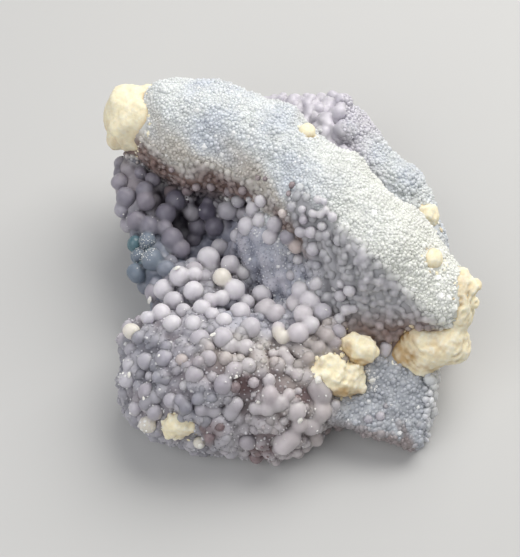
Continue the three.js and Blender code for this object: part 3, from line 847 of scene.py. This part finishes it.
# Painted shade in the valleys, which on the knob is mixed with the maroon that its crevices have; painted
# light on the drape's lobe tips.
skin_colour = mixed(skin_colour, mixed(CREVICE_SHADE, MAROON, 0.6), 0.55 * valley * maroon_shade_share)
skin_colour = mixed(skin_colour, CREVICE_SHADE, 0.55 * valley * drape_share)
skin_colour = mixed(skin_colour, PALE_LILAC, 0.3 * tips * drape_share)
underneath = ~above & (skin_outward[:, 2] < -0.5)
skin_colour[underneath] = UNDERSIDE * (1 + 0.15 * waves(skin_places[underneath], 2.0))[:, None]
skin = mesh_piece("skin", skin_places, skin_faces, skin_colour, skin_look)
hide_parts("chalcedony")

# The grapes.
# Balls of chalcedony of two to six millimetres that grew out of the skin and into each other, frosted by a
# film of fine quartz. The knob's, the glassy teal one and all others are one fused mesh each.
PALE_GRAPE = paint(217, 214, 218)
GREY_GRAPE = paint(182, 182, 192)
ROSE_GRAPE = paint(192, 181, 185)
WARM_GRAPE = paint(196, 188, 186)
# Painted shade with a deeper purple, for grapes in the hollow and on the pillar.
SHADE_GRAPE = paint(86, 82, 99)
TEAL_GRAPE = paint(118, 132, 145)
CREAM_GRAPE = paint(228, 222, 208)
BEIGE_GRAPE = paint(206, 192, 184)
# How pale, how rosy and how dusky the grapes of each group are; dusky is painted shade with a deeper purple.
GROUP_TONES = {
    "pillar": (0.05, 0.3, 0.52),
    "glass": (0.0, 0.0, 0.0),
    "hollow": (0.0, 0.4, 0.62),
    "eave": (0.75, 0.1, 0.0),
    "mound": (0.85, 0.15, 0.0),
    "slope": (0.75, 0.35, 0.0),
    "lip": (0.3, 0.6, 0.3),
    "toe": (0.4, 0.4, 0.1),
    "knob": (0.38, 0.3, 0.05),
    "brim": (0.5, 0.2, 0.0),
}
# The few grapes that are stained: millimetres right and up as the eye sees them, and the colour.
STAINED = [
    (-39.6, -15.2, CREAM_GRAPE), (-3.1, -15.7, CREAM_GRAPE), (-1.8, -16.8, CREAM_GRAPE),
    (-17, -1.8, CREAM_GRAPE), (1.6, 5.9, BEIGE_GRAPE),
    (-1.8, 14.2, BEIGE_GRAPE), (-26.9, -22.7, BEIGE_GRAPE), (-26.3, -28.9, PALE_GRAPE),
    (-35.6, -38.6, CREAM_GRAPE), (-22.6, -43, CREAM_GRAPE),
]


def grape_colours(centres, tones):
    """A colour for each grape from how pale, rosy and dusky it is, each varied a little. Dusky grapes, those
    deep in the hollow and those where the stone closes in get painted shade.
    """
    tones = np.clip(tones + draw.normal(0, 0.14, tones.shape), 0, 1)
    across, _ = seen_at(centres)
    warm = soft_step(across, -22, 2) * (nearest_mass(centres) == "front")
    colour = mixed(GREY_GRAPE, WARM_GRAPE, warm)
    for tone, share in zip((ROSE_GRAPE, PALE_GRAPE, SHADE_GRAPE), tones[:, [1, 0, 2]].T):
        colour = mixed(colour, tone, share)
    # Painted shade deep in the hollow under the roof.
    deep = within(centres, -25, 16, (8, 5)) * (centres[:, 2] < ROOF_FOOT)
    teal = within(centres, -35.5, 2.5, (4.5, 6)) * (centres[:, 0] < PILLAR_RIGHT)
    colour = mixed(colour, SHADE_GRAPE, 0.55 * deep)
    colour = mixed(colour, TEAL_GRAPE, 0.85 * teal)
    for across, upward, stain in STAINED:
        colour = mixed(colour, stain, 0.8 * within(centres, across, upward, (0.5, 0.5)))
    return shaded(colour, centres, outward_at(centres), 0.6)


BALL_MARGIN = 4.0  # room around the balls on their own lattice
FAR_GAP = 3.0  # what that lattice holds away from all balls
COLOUR_FADE = 0.25
BALL_SWELL = 0.12
MOST_GAPS = 3_000_000  # how many distances are worked out at a time


def ball_colours(places, centres, radii, own):
    """The nearest ball's own colour at places, which gives way to its neighbour's within the fade."""
    colour = np.empty_like(places)
    for part in np.array_split(np.arange(len(places)), max(1, len(places) * len(centres) // MOST_GAPS)):
        square = (places[part] ** 2).sum(1)[:, None] + (centres ** 2).sum(1) - 2 * places[part] @ centres.T
        gaps = np.sqrt(np.maximum(square, 0)) - radii
        shares = np.exp(-(gaps - gaps.min(1, keepdims=True)) / COLOUR_FADE)
        colour[part] = shares @ own / shares.sum(1, keepdims=True)
    return colour


def fused_balls(name, centres, radii, own, look, cell=0.42, blend=0.8, dark=0.35):
    """One closed mesh around balls that run into each other, each swelling a little. Each has its own colour,
    with painted shade at the foot and in the creases: where the skin is near again a little way out."""
    low = centres.min(0) - BALL_MARGIN
    field = np.full(np.ceil((centres.max(0) + BALL_MARGIN - low) / cell).astype(int), FAR_GAP)
    add_balls(field, low, cell, centres, radii, blend)
    places, faces = wrapped(field, low, cell)
    places, outward = settled(field, places, low, cell)
    places = places + (BALL_SWELL * waves(places, 3.0))[:, None] * outward
    foot = 1 - soft_step(stone_gap(places), -0.3, 0.6 * radii.mean())
    ahead = sampled(field, places + 2 * cell * outward, low, cell)[0]
    crease = 1 - soft_step(ahead, 0.3 * cell, 1.6 * cell)
    # Painted shade at the feet and in the creases, by the share dark.
    colour = mixed(ball_colours(places, centres, radii, own), CREVICE_SHADE, dark * np.maximum(foot, crease))
    mesh_piece(name, places, faces, colour, look)
    return places, outward


grape_look = stone_material(
    "Chalcedony_grape", roughness=0.42, wax=1.0, depth=3.0, grain=3400, grain_height=0.08, mottle=0.06
)
glass_look = stone_material(
    "Chalcedony_glass", roughness=0.18, wax=1.0, depth=3.0, grain=3400, grain_height=0.02, mottle=0.1
)
own_colours = grape_colours(grape_centres, np.array([GROUP_TONES[group] for group in grape_group]))
knob_group = np.isin(grape_group, ["knob", "brim"])
beneath = 1.05 * stone_colour(grape_centres[knob_group], outward_at(grape_centres[knob_group]))
beneath_share = np.where(grape_group[knob_group] == "brim", 0, 0.3)
own_colours[knob_group] = mixed(own_colours[knob_group], beneath, beneath_share)
lip_group = (grape_group == "lip") & (grape_centres[:, 0] < 5)
own_colours[lip_group] = mixed(own_colours[lip_group], LIP_BROWN, 0.5)

# Grapes between the measured ones on the pillar and the mound, but for the hollow's dark gap.
FILL_BALLS = (3.6, (2.0, 2.7), (-0.55, 0.1))
FILL_TO_GRAPE = 3.2
on_mound = (base_mass == "front") & ~on_knob & (base_x < -15)
fill_centres, fill_radii = domes_on(((base_mass == "pillar") | on_mound) & base_clear, *FILL_BALLS)
free = clear_of(fill_centres, grape_centres, FILL_TO_GRAPE)
free &= within(fill_centres, -24.5, 13.5, (4.5, 4.5)) < 0.5
fill_centres, fill_radii = fill_centres[free], fill_radii[free]
# Fill grapes away from the front take a dusky share of painted shade.
fill_tones = np.where((nearest_mass(fill_centres) == "front")[:, None], (0.5, 0.3, 0.0), (0.1, 0.4, 0.4))
glass_group = grape_group == "glass"
others = ~knob_group & ~glass_group
knob_balls = grape_centres[knob_group], grape_radii[knob_group], own_colours[knob_group]
glass_balls = grape_centres[glass_group], grape_radii[glass_group], TEAL[None]
hollow_balls = (
    np.concatenate([grape_centres[others], fill_centres]),
    np.concatenate([grape_radii[others], fill_radii]),
    np.concatenate([own_colours[others], grape_colours(fill_centres, fill_tones)]),
)
knob_skin, knob_outward = fused_balls("grapes_knob", *knob_balls, grape_look, blend=1.0)
fused_balls("grapes_glass", *glass_balls, glass_look, dark=0.5)
hollow_skin, hollow_outward = fused_balls("grapes_hollow", *hollow_balls, grape_look, blend=0.55, dark=0.28)

# The beads.
# Grapes of one to three and a half millimetres, grown into each other: crowded under the roof's lip, on its
# flank, over the knob between the large ones and on the back ridge's lilac end.
SEATS_PER_FACE = 2
BEAD_TO_CLAY = 0.4
upper_faces = skin_faces[above[skin_faces].all(1)]
first, second = draw.random((2, SEATS_PER_FACE, len(upper_faces), 1))
shares = [(1 - first) * (1 - second), first * (1 - second), first * second, (1 - first) * second]


def on_faces(values):
    """Values between the corners of the skin's upper faces, at random places of each face."""
    return sum(share * values[corner] for share, corner in zip(shares, upper_faces.T)).reshape(-1, 3)


surface = on_faces(skin_places)
surface_outward = unit(on_faces(skin_outward))
surface_mass = nearest_mass(surface)
surface_x, surface_y, surface_z = surface.T
_, outward_y, outward_z = surface_outward.T
surface_across, _ = seen_at(surface)
surface_to_clay = clay_gap(surface)
all_grapes = np.concatenate([grape_centres, fill_centres])
all_radii = np.concatenate([grape_radii, fill_radii])


def seats_on(where, spacing):
    """Numbers of the surface's places where a mask says so, clear of the clay and one spacing apart."""
    chosen = np.flatnonzero(where & (surface_to_clay > BEAD_TO_CLAY))
    return chosen[spread(surface[chosen], spacing)]


def toned(places, outward, strength, pale, lift, lift_spread, uneven):
    """The stone's colour with painted shade where it closes in, drawn towards a pale one by lift, and a
    little lighter or darker each.
    """
    colour = shaded(stone_colour(places, outward), places, outward, strength)
    colour = mixed(colour, pale, np.clip(lift + draw.normal(0, lift_spread, len(places)), 0, 1))
    return colour * draw.normal(1, uneven, len(places))[:, None]


def coat_on(name, where, spacing, radii, stands, look, lift, room=1.5, **shape):
    """A coat of balls on the skin where a mask says so, run together, one spacing apart, standing out of it
    by shares of their radius. They are lighter than the stone by lift, each of a slightly different tone."""
    chosen = seats_on(where, spacing)
    radius = draw.uniform(*radii, len(chosen))
    outward = surface_outward[chosen]
    centres = stood(surface[chosen], outward, radius, stands)
    free = clear_of(centres, all_grapes, room)
    colour = toned(centres[free], outward[free], 0.8, PALE_GRAPE, lift, 0.5 * lift, 0.05)
    fused_balls(name, centres[free], radius[free], colour, look, **shape)


facing_eye = surface_outward @ SIGHT_IN < 0.35
ragged = draw.uniform(0.1, 0.9, len(surface))
on_flank = np.isin(surface_mass, ["roof", "core"]) & facing_eye & (below_crest(surface) > ragged)
on_flank &= surface_across > 0
near_wall = surface_across < 13
on_lip = (surface_mass == "roof") & (outward_z < 0.45) & (surface_y < 34) & ~on_flank
on_lip &= (outward_y < 0.2) | (outward_z < -0.3)
on_front = (surface_mass == "front") & (surface_z > FOOT)
lip_coat = {"lift": 0.1, "cell": 0.37, "blend": 0.45, "dark": 0.2}
wall_coat = {"lift": 0.15, "blend": 0.3, "dark": 0.15}
flank_coat = {"lift": 0.2, "blend": 0.5, "dark": 0.1}
knob_coat = {"lift": 0.1, "cell": 0.47, "blend": 1.0, "dark": 0.12, "room": 2.2}
coat_on("beads_lip", on_lip, 1.3, (0.6, 1.0), (-0.4, 0.2), grape_look, **lip_coat)
coat_on("beads_wall", on_flank & near_wall, 1.9, (1.0, 1.6), (-0.5, 0.0), grape_look, **wall_coat)
coat_on("beads_flank", on_flank & ~near_wall, 1.5, (0.8, 1.3), (-0.55, 0.05), grape_look, **flank_coat)
coat_on("beads_knob", on_front, 2.6, (1.0, 1.8), (-0.8, -0.25), grape_look, **knob_coat)

# The druse.
# Quartz crystals of one or two millimetres that grew on the roof, the back ridge, the toe and the sides
# like sugar. Most are rounded grains, a few show their six faces and catch the light.


def frames_along(outward):
    """For each direction, a frame turned at random: two axes across it and the direction itself."""
    helper = np.where(np.abs(outward[:, 2:3]) < 0.9, [[0.0, 0, 1]], [[1.0, 0, 0]])
    side = unit(np.cross(helper, outward))
    other = np.cross(outward, side)
    turn = draw.uniform(0, 2 * math.pi, len(outward))[:, None]
    first = np.cos(turn) * side + np.sin(turn) * other
    return np.stack([first, np.cross(outward, first), outward], 1)


def scattered(name, shape, centres, sizes, axes, colours, look, smooth=False):
    """One piece of a shape's copies: its corners scaled by sizes, turned to axes and moved to centres. Each
    copy has its own colour."""
    corners, faces = shape
    places = np.einsum("nkc,ncd->nkd", corners[None] * sizes[:, None], axes) + centres[:, None]
    offset = (len(corners) * np.arange(len(centres)))[:, None, None]
    all_faces = (faces[None] + offset).reshape(-1, faces.shape[1])
    tint = np.repeat(colours, len(corners), 0)
    mesh_piece(name, places.reshape(-1, 3), all_faces, tint, look, smooth)


def crystal():
    """A six-sided crystal: a ring of six between a tip and a foot, each a pyramid."""
    turn = math.pi / 3 * np.arange(6)
    ring = np.stack([np.cos(turn), np.sin(turn), 0.3 + 0 * turn], -1)
    places = np.concatenate([ring, [[0, 0, 1.0], [0, 0, -0.9]]])
    here = np.arange(6)
    there = (here + 1) % 6
    tip, foot = np.full(6, 6), np.full(6, 7)
    return places, np.concatenate([np.stack([here, there, tip], 1), np.stack([there, here, foot], 1)])


def nugget():
    """A rounded grain: two poles and two turned rings of five, twenty faces."""
    turn = 2 * math.pi / 5 * np.arange(5)
    level = 1 / math.sqrt(5)
    upper = np.stack([2 * level * np.cos(turn), 2 * level * np.sin(turn), np.full(5, level)], -1)
    places = np.concatenate([upper, -upper, [[0, 0, 1.0], [0, 0, -1.0]]])
    here = np.arange(5)
    there = (here + 1) % 5
    beside = 5 + (here + 3) % 5
    top, bottom = np.full(5, 10), np.full(5, 11)
    corners = [
        (here, there, top),
        (5 + there, 5 + here, bottom),
        (there, here, beside),
        (beside, 5 + (here + 4) % 5, there),
    ]
    return places, np.concatenate([np.stack(face, 1) for face in corners])


FROST = paint(226, 226, 230)
# The quartz's own white and painted glint together, for bright crystals.
GLINT_FACET_WHITE = paint(250, 250, 248)
GLINT_WHITE = paint(252, 252, 248)
BIG_SHARE = 0.07  # how many of the crystals are twice as large
sugar_look = stone_material(
    "Quartz_druse", roughness=0.36, wax=0.4, depth=0.8, grain=5200, grain_height=0.03, mottle=0.06
)
crystal_look = stone_material(
    "Quartz_crystal", roughness=0.2, wax=0.0, depth=1.0, grain=5200, grain_height=0.02, mottle=0.04
)


def patches(places):
    """0 to 1 in patches of some millimetres, where grains are smaller or larger."""
    return soft_step(waves(places, 3.3), -1.2, 1.2)


def grains_on(name, where, spacing, radii, stands, look, uneven=0.05, lift=0.0):
    """Rounded grains on the skin where a mask says so, one spacing apart, standing out of it by shares of
    their radius. Each is turned at random and of its own tone, uneven by a share, and lighter by lift."""
    chosen = seats_on(where, spacing)
    outward = surface_outward[chosen]
    radius = draw.uniform(*radii, len(chosen)) * (0.75 + 0.5 * patches(surface[chosen]))
    centres = stood(surface[chosen], outward, radius, stands)
    size = radius[:, None] * draw.uniform(0.75, 1.25, (len(chosen), 3))
    axes = frames_along(outward)
    colours = toned(centres, outward, 0.7, FROST, lift, 0.4 * lift, uneven)
    scattered(name, nugget(), centres, size, axes, colours, look, smooth=True)


def crystals_on(name, where, spacing, widths, bright_share):
    """Crystals on the skin where a mask says so, each turned and tilted at random, a share of them whitened,
    partly as painted glints.
    """
    chosen = seats_on(where, spacing)
    count = len(chosen)
    seat, upright = surface[chosen], surface_outward[chosen]
    outward = unit(upright + draw.normal(0, 0.3, (count, 3)))
    width = draw.uniform(*widths, count) * (0.85 + 0.3 * patches(seat))
    width = width * draw.choice([1, 2], count, p=[1 - BIG_SHARE, BIG_SHARE])
    size = np.stack([width, width, width * draw.uniform(0.7, 1.1, count)], 1)
    sunk = seat - (0.3 * width)[:, None] * upright
    axes = frames_along(outward)
    # The stone's colour with painted shade where it closes in.
    colours = shaded(stone_colour(seat, upright), seat, upright, 0.7)
    colours = colours * draw.normal(1.02, 0.06, count)[:, None]
    # A share is whitened: the quartz's own white and painted glints.
    bright = draw.random(count) < bright_share
    colours[bright] = mixed(colours[bright], GLINT_FACET_WHITE, 0.7)
    scattered(name, crystal(), sunk, size, axes, colours, crystal_look)


def glints_on(name, skin, outward, share, spacing, widths):
    """Bright crystals on the grapes themselves, a share of the places at least one spacing apart, whitened
    partly as painted glints.
    """
    chosen = spread(skin, spacing)
    chosen = chosen[draw.random(len(chosen)) < share[chosen]]
    seat, outward = skin[chosen], outward[chosen]
    size = draw.uniform(*widths, len(chosen))[:, None] * draw.uniform(0.6, 1.2, (len(chosen), 3))
    axes = frames_along(outward)
    colours = mixed(stone_colour(seat, outward), GLINT_WHITE, draw.uniform(0.5, 1, len(chosen)))
    scattered(name, crystal(), seat, size, axes, colours, crystal_look)


def near_spots(places, spots, size):
    """The largest of within for several ovals of one size."""
    return np.max([within(places, *spot, size) for spot in spots], axis=0)


# Where the toe, the drape and the knob sparkle most, as the eye sees them: crystals there are whitened as
# painted glints.
TOE_SPARKLES = [(20.3, -27.2)]
DRAPE_SPARKLES = [(0.5, 2), (-6.5, 9.5), (-3.3, -8.5), (-1, 6)]
KNOB_SPARKLES = [
    (-42.5, -27), (-35.8, -33), (-27.5, -36.5), (-26, -18.5), (-1.8, -28.8), (2.5, -26.3), (-4, -39.5),
    (-13.5, -26.5), (-36, -39), (8, -26),
]
in_core = surface_mass == "core"
on_roof = (surface_mass == "roof") & ~on_lip & ~on_flank
lilac_top = (surface_mass == "back") & (surface_x < 14) & (surface_z > 10)
on_toe = surface_mass == "toe"
toe_edge = on_toe & (surface_across > 33.5)
on_wall = in_core & (surface_x > -14) & (surface_x < 8) & (surface_y < 16)
behind_hollow = (surface_y > 26) & (outward_y > 0)
low_left = (surface_x < -12) & (surface_z < 11)
on_sides = in_core & ~on_flank & (behind_hollow | (surface_x > 20) | low_left)
on_back = ((surface_mass == "back") & ~lilac_top) | on_sides
toe_sparkles = on_toe & (near_spots(surface, TOE_SPARKLES, (1.6, 3)) > 0.5)
drape_sparkles = on_wall & (near_spots(surface, DRAPE_SPARKLES, (2.2, 2.2)) > 0.5)
lilac_coat = {"lift": 0.1, "cell": 0.5, "blend": 0.8, "dark": 0.05}
grains_on("druse_roof", on_roof, 0.58, (0.42, 0.66), (-0.6, 0.1), sugar_look, uneven=0.035)
grains_on("druse_back", on_back, 0.75, (0.5, 0.85), (-0.5, 0.15), sugar_look)
grains_on("druse_toe", on_toe & ~toe_edge, 0.85, (0.5, 0.95), (-0.65, -0.15), sugar_look, lift=0.06)
grains_on("druse_edge", toe_edge, 0.95, (0.5, 1.3), (0.0, 0.7), sugar_look, lift=0.4)
crystals_on("crystals_roof", on_roof, 1.7, (0.35, 0.65), bright_share=0.5)
crystals_on("crystals_back", on_back | on_toe, 2.3, (0.3, 0.55), bright_share=0.4)
coat_on("beads_lilac", lilac_top, 2.1, (1.1, 1.8), (-0.75, -0.2), sugar_look, **lilac_coat)
grains_on("frost_wall", on_wall, 0.7, (0.14, 0.3), (0.1, 0.5), crystal_look, uneven=0.08, lift=0.3)
grains_on("frost_front", on_front, 1.1, (0.18, 0.4), (-0.1, 0.4), crystal_look, lift=0.32)
crystals_on("crystals_wall", on_wall | on_front, 2.2, (0.15, 0.4), bright_share=0.6)
crystals_on("crystals_toe", toe_sparkles, 0.7, (0.3, 0.6), bright_share=0.8)
crystals_on("crystals_drape", drape_sparkles, 0.8, (0.2, 0.45), bright_share=0.8)
pillar_share = 0.9 * within(hollow_skin, -36.5, 5.5, (2.6, 2.8)) * (hollow_skin[:, 0] < PILLAR_RIGHT)
grapes_share = np.full(len(hollow_skin), 0.07)
knob_share = 0.06 + 0.8 * near_spots(knob_skin, KNOB_SPARKLES, (1.8, 1.4))
# Frost crystals on the grapes, whitened as painted glints.
glints_on("frost_glints_pillar", hollow_skin, hollow_outward, pillar_share, 0.45, (0.1, 0.22))
glints_on("frost_glints_grapes", hollow_skin, hollow_outward, grapes_share, 1.4, (0.12, 0.3))
glints_on("frost_glints_knob", knob_skin, knob_outward, knob_share, 0.9, (0.15, 0.45))

# The host clay.
# Pale lumps of the rock that the stone grew in, soft and chalky, broken to flat faces at the cap and laid in
# thin leaves at the shoulder. They are held by the chalcedony that grew around them.
CLAY_UNEVENNESS = 0.7
CLAY_SHRINK = 1.5
CLAY_CREAM = paint(255, 243, 208)
CLAY_WHITE = paint(255, 251, 233)
CLAY_OCHRE = paint(186, 148, 92)
CLAY_CELL = 0.4
CLAY_MARGIN = 4
LUMP_BLEND = 1.2
BREAK_BLEND = 0.35
SMALL_BLEND = 0.6
CRUMB_BLEND = 0.45
CREASED = "shoulder"
CREASE_FACING = unit(np.array([0.3, -0.5, 0.8]))
CREASE_APART = 1.7
CREASE_WIDTH = 0.12  # a share of how far they are apart
# Each lump's flat breaks, its roughness, how many crumbs are run on to it, its stains as millimetres right
# and up as the eye sees them, radii and strength, and its seed.
LUMPS = {
    "cap": (7, 0.1, 0, [(-45, 31.5, (3, 1.5), 0.3)], 3),
    "shoulder": (
        0, 0.26, 20, [(27.5, -19.5, (3.5, 5), 0.6), (36, -25, (6, 1), 0.3), (36, -17, (10, 8), 0.07)], 5
    ),
    "wedge": (8, 0.24, 90, [(13.4, -19.5, (1.8, 3.5), 0.5), (18.2, -23.3, (3.5, 1.1), 0.7)], 7),
    "patch": (10, 0.22, 110, [(12.5, -30.6, (6, 1.1), 0.6)], 9),
    "chip": (10, 0.25, 16, [(35, 3, (3, 1), 0.7)], 13),
    "button": (4, 0.12, 4, [], 15),
    "speck": (6, 0.12, 4, [(4, 33, (2, 1), 0.3)], 17),
    "foot": (8, 0.25, 40, [(-24, -42, (3, 1.5), 0.3)], 19),
}
# Small lumps grown on to the cap's corners and top and the shoulder's upper end.
SMALL_LUMPS = {
    "cap": [
        ((-44.4, 33.2, 31.4), (3, 3, 3)), ((-42, 41.4, 38.4), (3.4, 3.2, 3.2)),
        ((-36.3, 42, 39.6), (2, 2.4, 2.2)), ((-37.4, 34.5, 38.6), (3.4, 4, 3)),
    ],
    "shoulder": [
        ((42.4, -12.2, 29.6), (2.2, 2.2, 2.2)), ((43.8, -10.2, 28), (1.8, 1.8, 1.8)),
        ((41.2, -9, 31), (1.6, 1.6, 1.6)), ((43.6, -14.6, 27), (1.6, 1.6, 1.6)),
    ],
}


def clay_material():
    """Chalk and clay: the lump's tint, with one crumbly noise over its colour, dullness and height."""
    material, tree, shader = new_material("Host_clay")
    speck = noise_on(tree, scale=900, detail=6, roughness=0.65)
    light = ranged(tree, speck, 0.9, 1.04)
    gloss = ranged(tree, speck, 0.75, 0.98, start=0, end=1)
    connect_look(tree, shader, light, gloss, speck, strength=0.8, height=0.25)
    set_inputs(shader, Specular_IOR_Level=0.25, Subsurface_Weight=0.15, Subsurface_Scale=0.5 * MM)
    set_inputs(shader, Subsurface_Radius=(1.0, 0.8, 0.6))
    return material


clay_look = clay_material()


def clay_field(name, breaks, crumbs, seed):
    """Distance to a clay lump on a lattice of its own, and the lattice's lowest corner. The lump's ellipsoids
    are joined, swell like the stone, and are trimmed by flat faces turned at random, each a little short of
    its farthest place. Small lumps and crumbs are run on to it."""
    lumps = CLAY["clay_" + name]
    ends = np.array([[np.subtract(at, half), np.add(at, half)] for at, half, *_ in lumps])
    low = ends[:, 0].min(0) - CLAY_MARGIN
    size = np.ceil((ends[:, 1].max(0) + CLAY_MARGIN - low) / CLAY_CELL).astype(int)
    where = low + CLAY_CELL * np.stack(np.meshgrid(*[np.arange(count) for count in size], indexing="ij"), -1)
    uneven = CLAY_UNEVENNESS * waves(where, CLAY_SHRINK)
    field = joined([lump_gap(where, *lump) for lump in lumps], LUMP_BLEND) + uneven
    heart = ends.mean((0, 1))
    far = crossing_places(field, low, CLAY_CELL) - heart
    lots = np.random.default_rng(seed)
    for facing in unit(lots.normal(size=(breaks, 3))):
        depth = lots.uniform(0.8, 0.94) * (far @ facing).max()
        field = -smooth_min(-field, depth - (where - heart) @ facing, BREAK_BLEND)
    for lump in SMALL_LUMPS.get(name, []):
        field = smooth_min(field, lump_gap(where, *lump) + 0.5 * uneven, SMALL_BLEND)
    grown = crossing_places(field, low, CLAY_CELL)
    grown = grown[lots.permutation(len(grown))[:crumbs]]
    grown = grown - 0.25 * unit(grown - heart)
    add_balls(field, low, CLAY_CELL, grown, lots.uniform(0.4, 0.85, len(grown)), CRUMB_BLEND)
    return field, low


def creases(places, shift):
    """Narrow dips, 0 to 1, where a wavy level passes half way between two whole numbers."""
    level = places @ CREASE_FACING / CREASE_APART + 0.5 * waves(places, 1.8)
    apart = np.abs(level % 1 - 0.5)
    return np.exp(-((apart / CREASE_WIDTH) ** 2)) * soft_step(waves(places + shift, 3.0), -0.3, 1.0)


def clay_lump(name, breaks, roughness, crumbs, stains, seed):
    """A clay lump, its skin roughened by waves and, at the shoulder, by creases. It is ochre in pits and
    creases, along the rim where it meets the stone, and at its stains, which are ovals of the sight plane."""
    field, low = clay_field(name, breaks, crumbs, seed)
    places, faces = wrapped(field, low, CLAY_CELL)
    places, outward = settled(field, places, low, CLAY_CELL)
    shift = 17.0 * seed
    chips = np.abs(waves(places + shift, 4.5))
    relief = roughness * (0.5 - 0.8 * chips + 0.3 * waves(places - shift, 9.0)) + 0.05 * waves(places, 20.0)
    groove = creases(places, shift) if name == CREASED else np.zeros(len(places))
    places = places + (relief - 0.5 * groove)[:, None] * outward
    pits = soft_step(waves(places + shift, 2.6) + 0.6 * waves(places, 7.0), 0.7, 1.9)
    low_rim = 1 - soft_step(stone_gap(places), -0.2, 0.8)
    stained = 0.4 * low_rim + 0.25 * pits + 0.3 * groove
    cloudy = 0.4 + 0.8 * soft_step(waves(places, 5.0), -1.0, 1.0)
    for across, upward, size, strength in stains:
        stained = stained + strength * within(places, across, upward, size) * cloudy
    colour = mixed(CLAY_CREAM, CLAY_WHITE, soft_step(relief, -0.1, 0.3))
    colour = mixed(colour, CLAY_OCHRE, np.clip(stained, 0, 0.95))
    piece = mesh_piece("lump_" + name, places, faces, colour, clay_look)
    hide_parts("clay_" + name)


for name, sizes in LUMPS.items():
    clay_lump(name, *sizes)

# The crumbs.
# Crumbs of the clay that stick to the stone around the lumps, and white flakes of it on the grapes.
CRUMB_SPACING = 1.5
FLAKES = [
    (-28.2, 0.4, 1.0), (-35, -7.5, 1.1), (-19.2, -16.2, 0.9), (-20.5, -17.5, 0.7), (-24.5, -19.5, 0.8),
    (-40.2, -26.2, 0.9), (-36.5, -32.3, 0.8), (-13.4, -26.6, 0.7), (-22.4, -43.8, 1.0), (7, -27.5, 0.9),
    (4.6, -26.8, 0.7), (9.2, -24.2, 0.9), (-9.8, -20, 0.7), (2.5, -37.6, 0.7), (-7.8, -33, 0.7),
    (20.6, -27.5, 0.8),
]
FLAKE_WHITE = paint(246, 244, 236)
FLAKE_STAND = 0.3
CRUST = 0.7  # how far the knob's crust of small grapes stands above the stone's own surface


def crust_gap(places):
    """Distance to the crust or to the nearest large grape."""
    apart = np.linalg.norm(places[:, None] - all_grapes[None], axis=-1) - all_radii
    return np.minimum(stone_gap(places) - CRUST, apart.min(1))


chunk_corners, chunk_faces = crystal()
chunk = chunk_corners * np.array([1, 0.85, 0.6]), chunk_faces
rim = np.flatnonzero((surface_to_clay > 0.1) & (surface_to_clay < 1.1) & (draw.random(len(surface)) < 0.4))
rim = rim[spread(surface[rim], CRUMB_SPACING)]
flake_seats, flake_radii = seated(FLAKES, FLAKE_STAND, crust_gap)
crumb_centres = np.concatenate([surface[rim], flake_seats])
crumb_sizes = np.concatenate([draw.uniform(0.35, 0.8, len(rim)), flake_radii])
crumb_sizes = crumb_sizes[:, None] * draw.uniform(0.6, 1.3, (len(crumb_sizes), 3))
crumb_axes = frames_along(outward_at(crumb_centres))
crumb_colour = mixed(CLAY_CREAM, CLAY_WHITE, draw.random(len(crumb_sizes)))
crumb_colour = mixed(crumb_colour, CLAY_OCHRE, 0.4 * (draw.random(len(crumb_sizes)) < 0.25))
crumb_colour[len(rim):] = FLAKE_WHITE
scattered("crumbs", chunk, crumb_centres, crumb_sizes, crumb_axes, crumb_colour, clay_look)

# The floor, the lamps and the camera. None of them is part of the stone.
FLOOR_HALF = 1.5
FLOOR_GREY = (0.56, 0.56, 0.55, 1)
floor_mesh = bpy.data.meshes.new("floor")
floor_corners = [(x * FLOOR_HALF, y * FLOOR_HALF, 0) for x, y in ((-1, -1), (1, -1), (1, 1), (-1, 1))]
floor_mesh.from_pydata(floor_corners, [], [(0, 1, 2, 3)])
floor = bpy.data.objects.new("floor", floor_mesh)
bpy.context.scene.collection.objects.link(floor)
floor_look, _, floor_shader = new_material("Floor")
set_inputs(floor_shader, Base_Color=FLOOR_GREY, Roughness=0.7)
floor_mesh.materials.append(floor_look)

world = bpy.data.worlds.new("Studio")
bpy.context.scene.world = world
world.use_nodes = True
set_inputs(world.node_tree.nodes["Background"], Color=(0.96, 0.97, 1.0, 1), Strength=0.28)

LAMP_AIM = Vector((0, 0, 0.02))
LAMP_SIZE = 0.7


def soft_lamp(name, place, power, colour):
    """A square light at place, in metres, that faces the stone."""
    lamp = bpy.data.lights.new(name, "AREA")
    lamp.size = LAMP_SIZE
    lamp.energy = power
    lamp.color = colour
    holder = bpy.data.objects.new(name, lamp)
    bpy.context.scene.collection.objects.link(holder)
    holder.location = place
    holder.rotation_euler = (LAMP_AIM - Vector(place)).to_track_quat("-Z", "Y").to_euler()


soft_lamp("Key", (0.28, 0.36, 0.62), 6.3, (1.0, 0.98, 0.95))
soft_lamp("Fill", (-0.4, -0.4, 0.6), 2.8, (0.98, 0.98, 1.0))

PICTURE_UNIT = 0.25  # millimetres of the sight plane to a unit of the photograph
PICTURE_HEIGHT = 557
SENSOR = 36
camera = bpy.data.objects.new("Camera", bpy.data.cameras.new("Camera"))
bpy.context.scene.collection.objects.link(camera)
bpy.context.scene.camera = camera
camera.location = EYE * MM
camera.rotation_euler = (math.pi / 2 - SIGHT_TILT, 0, 0)
camera.data.sensor_width = SENSOR
camera.data.lens = SENSOR * (EYE_DISTANCE / PICTURE_UNIT) / PICTURE_HEIGHT
camera.data.clip_start = 0.01
bpy.context.scene.view_settings.view_transform = "Standard"
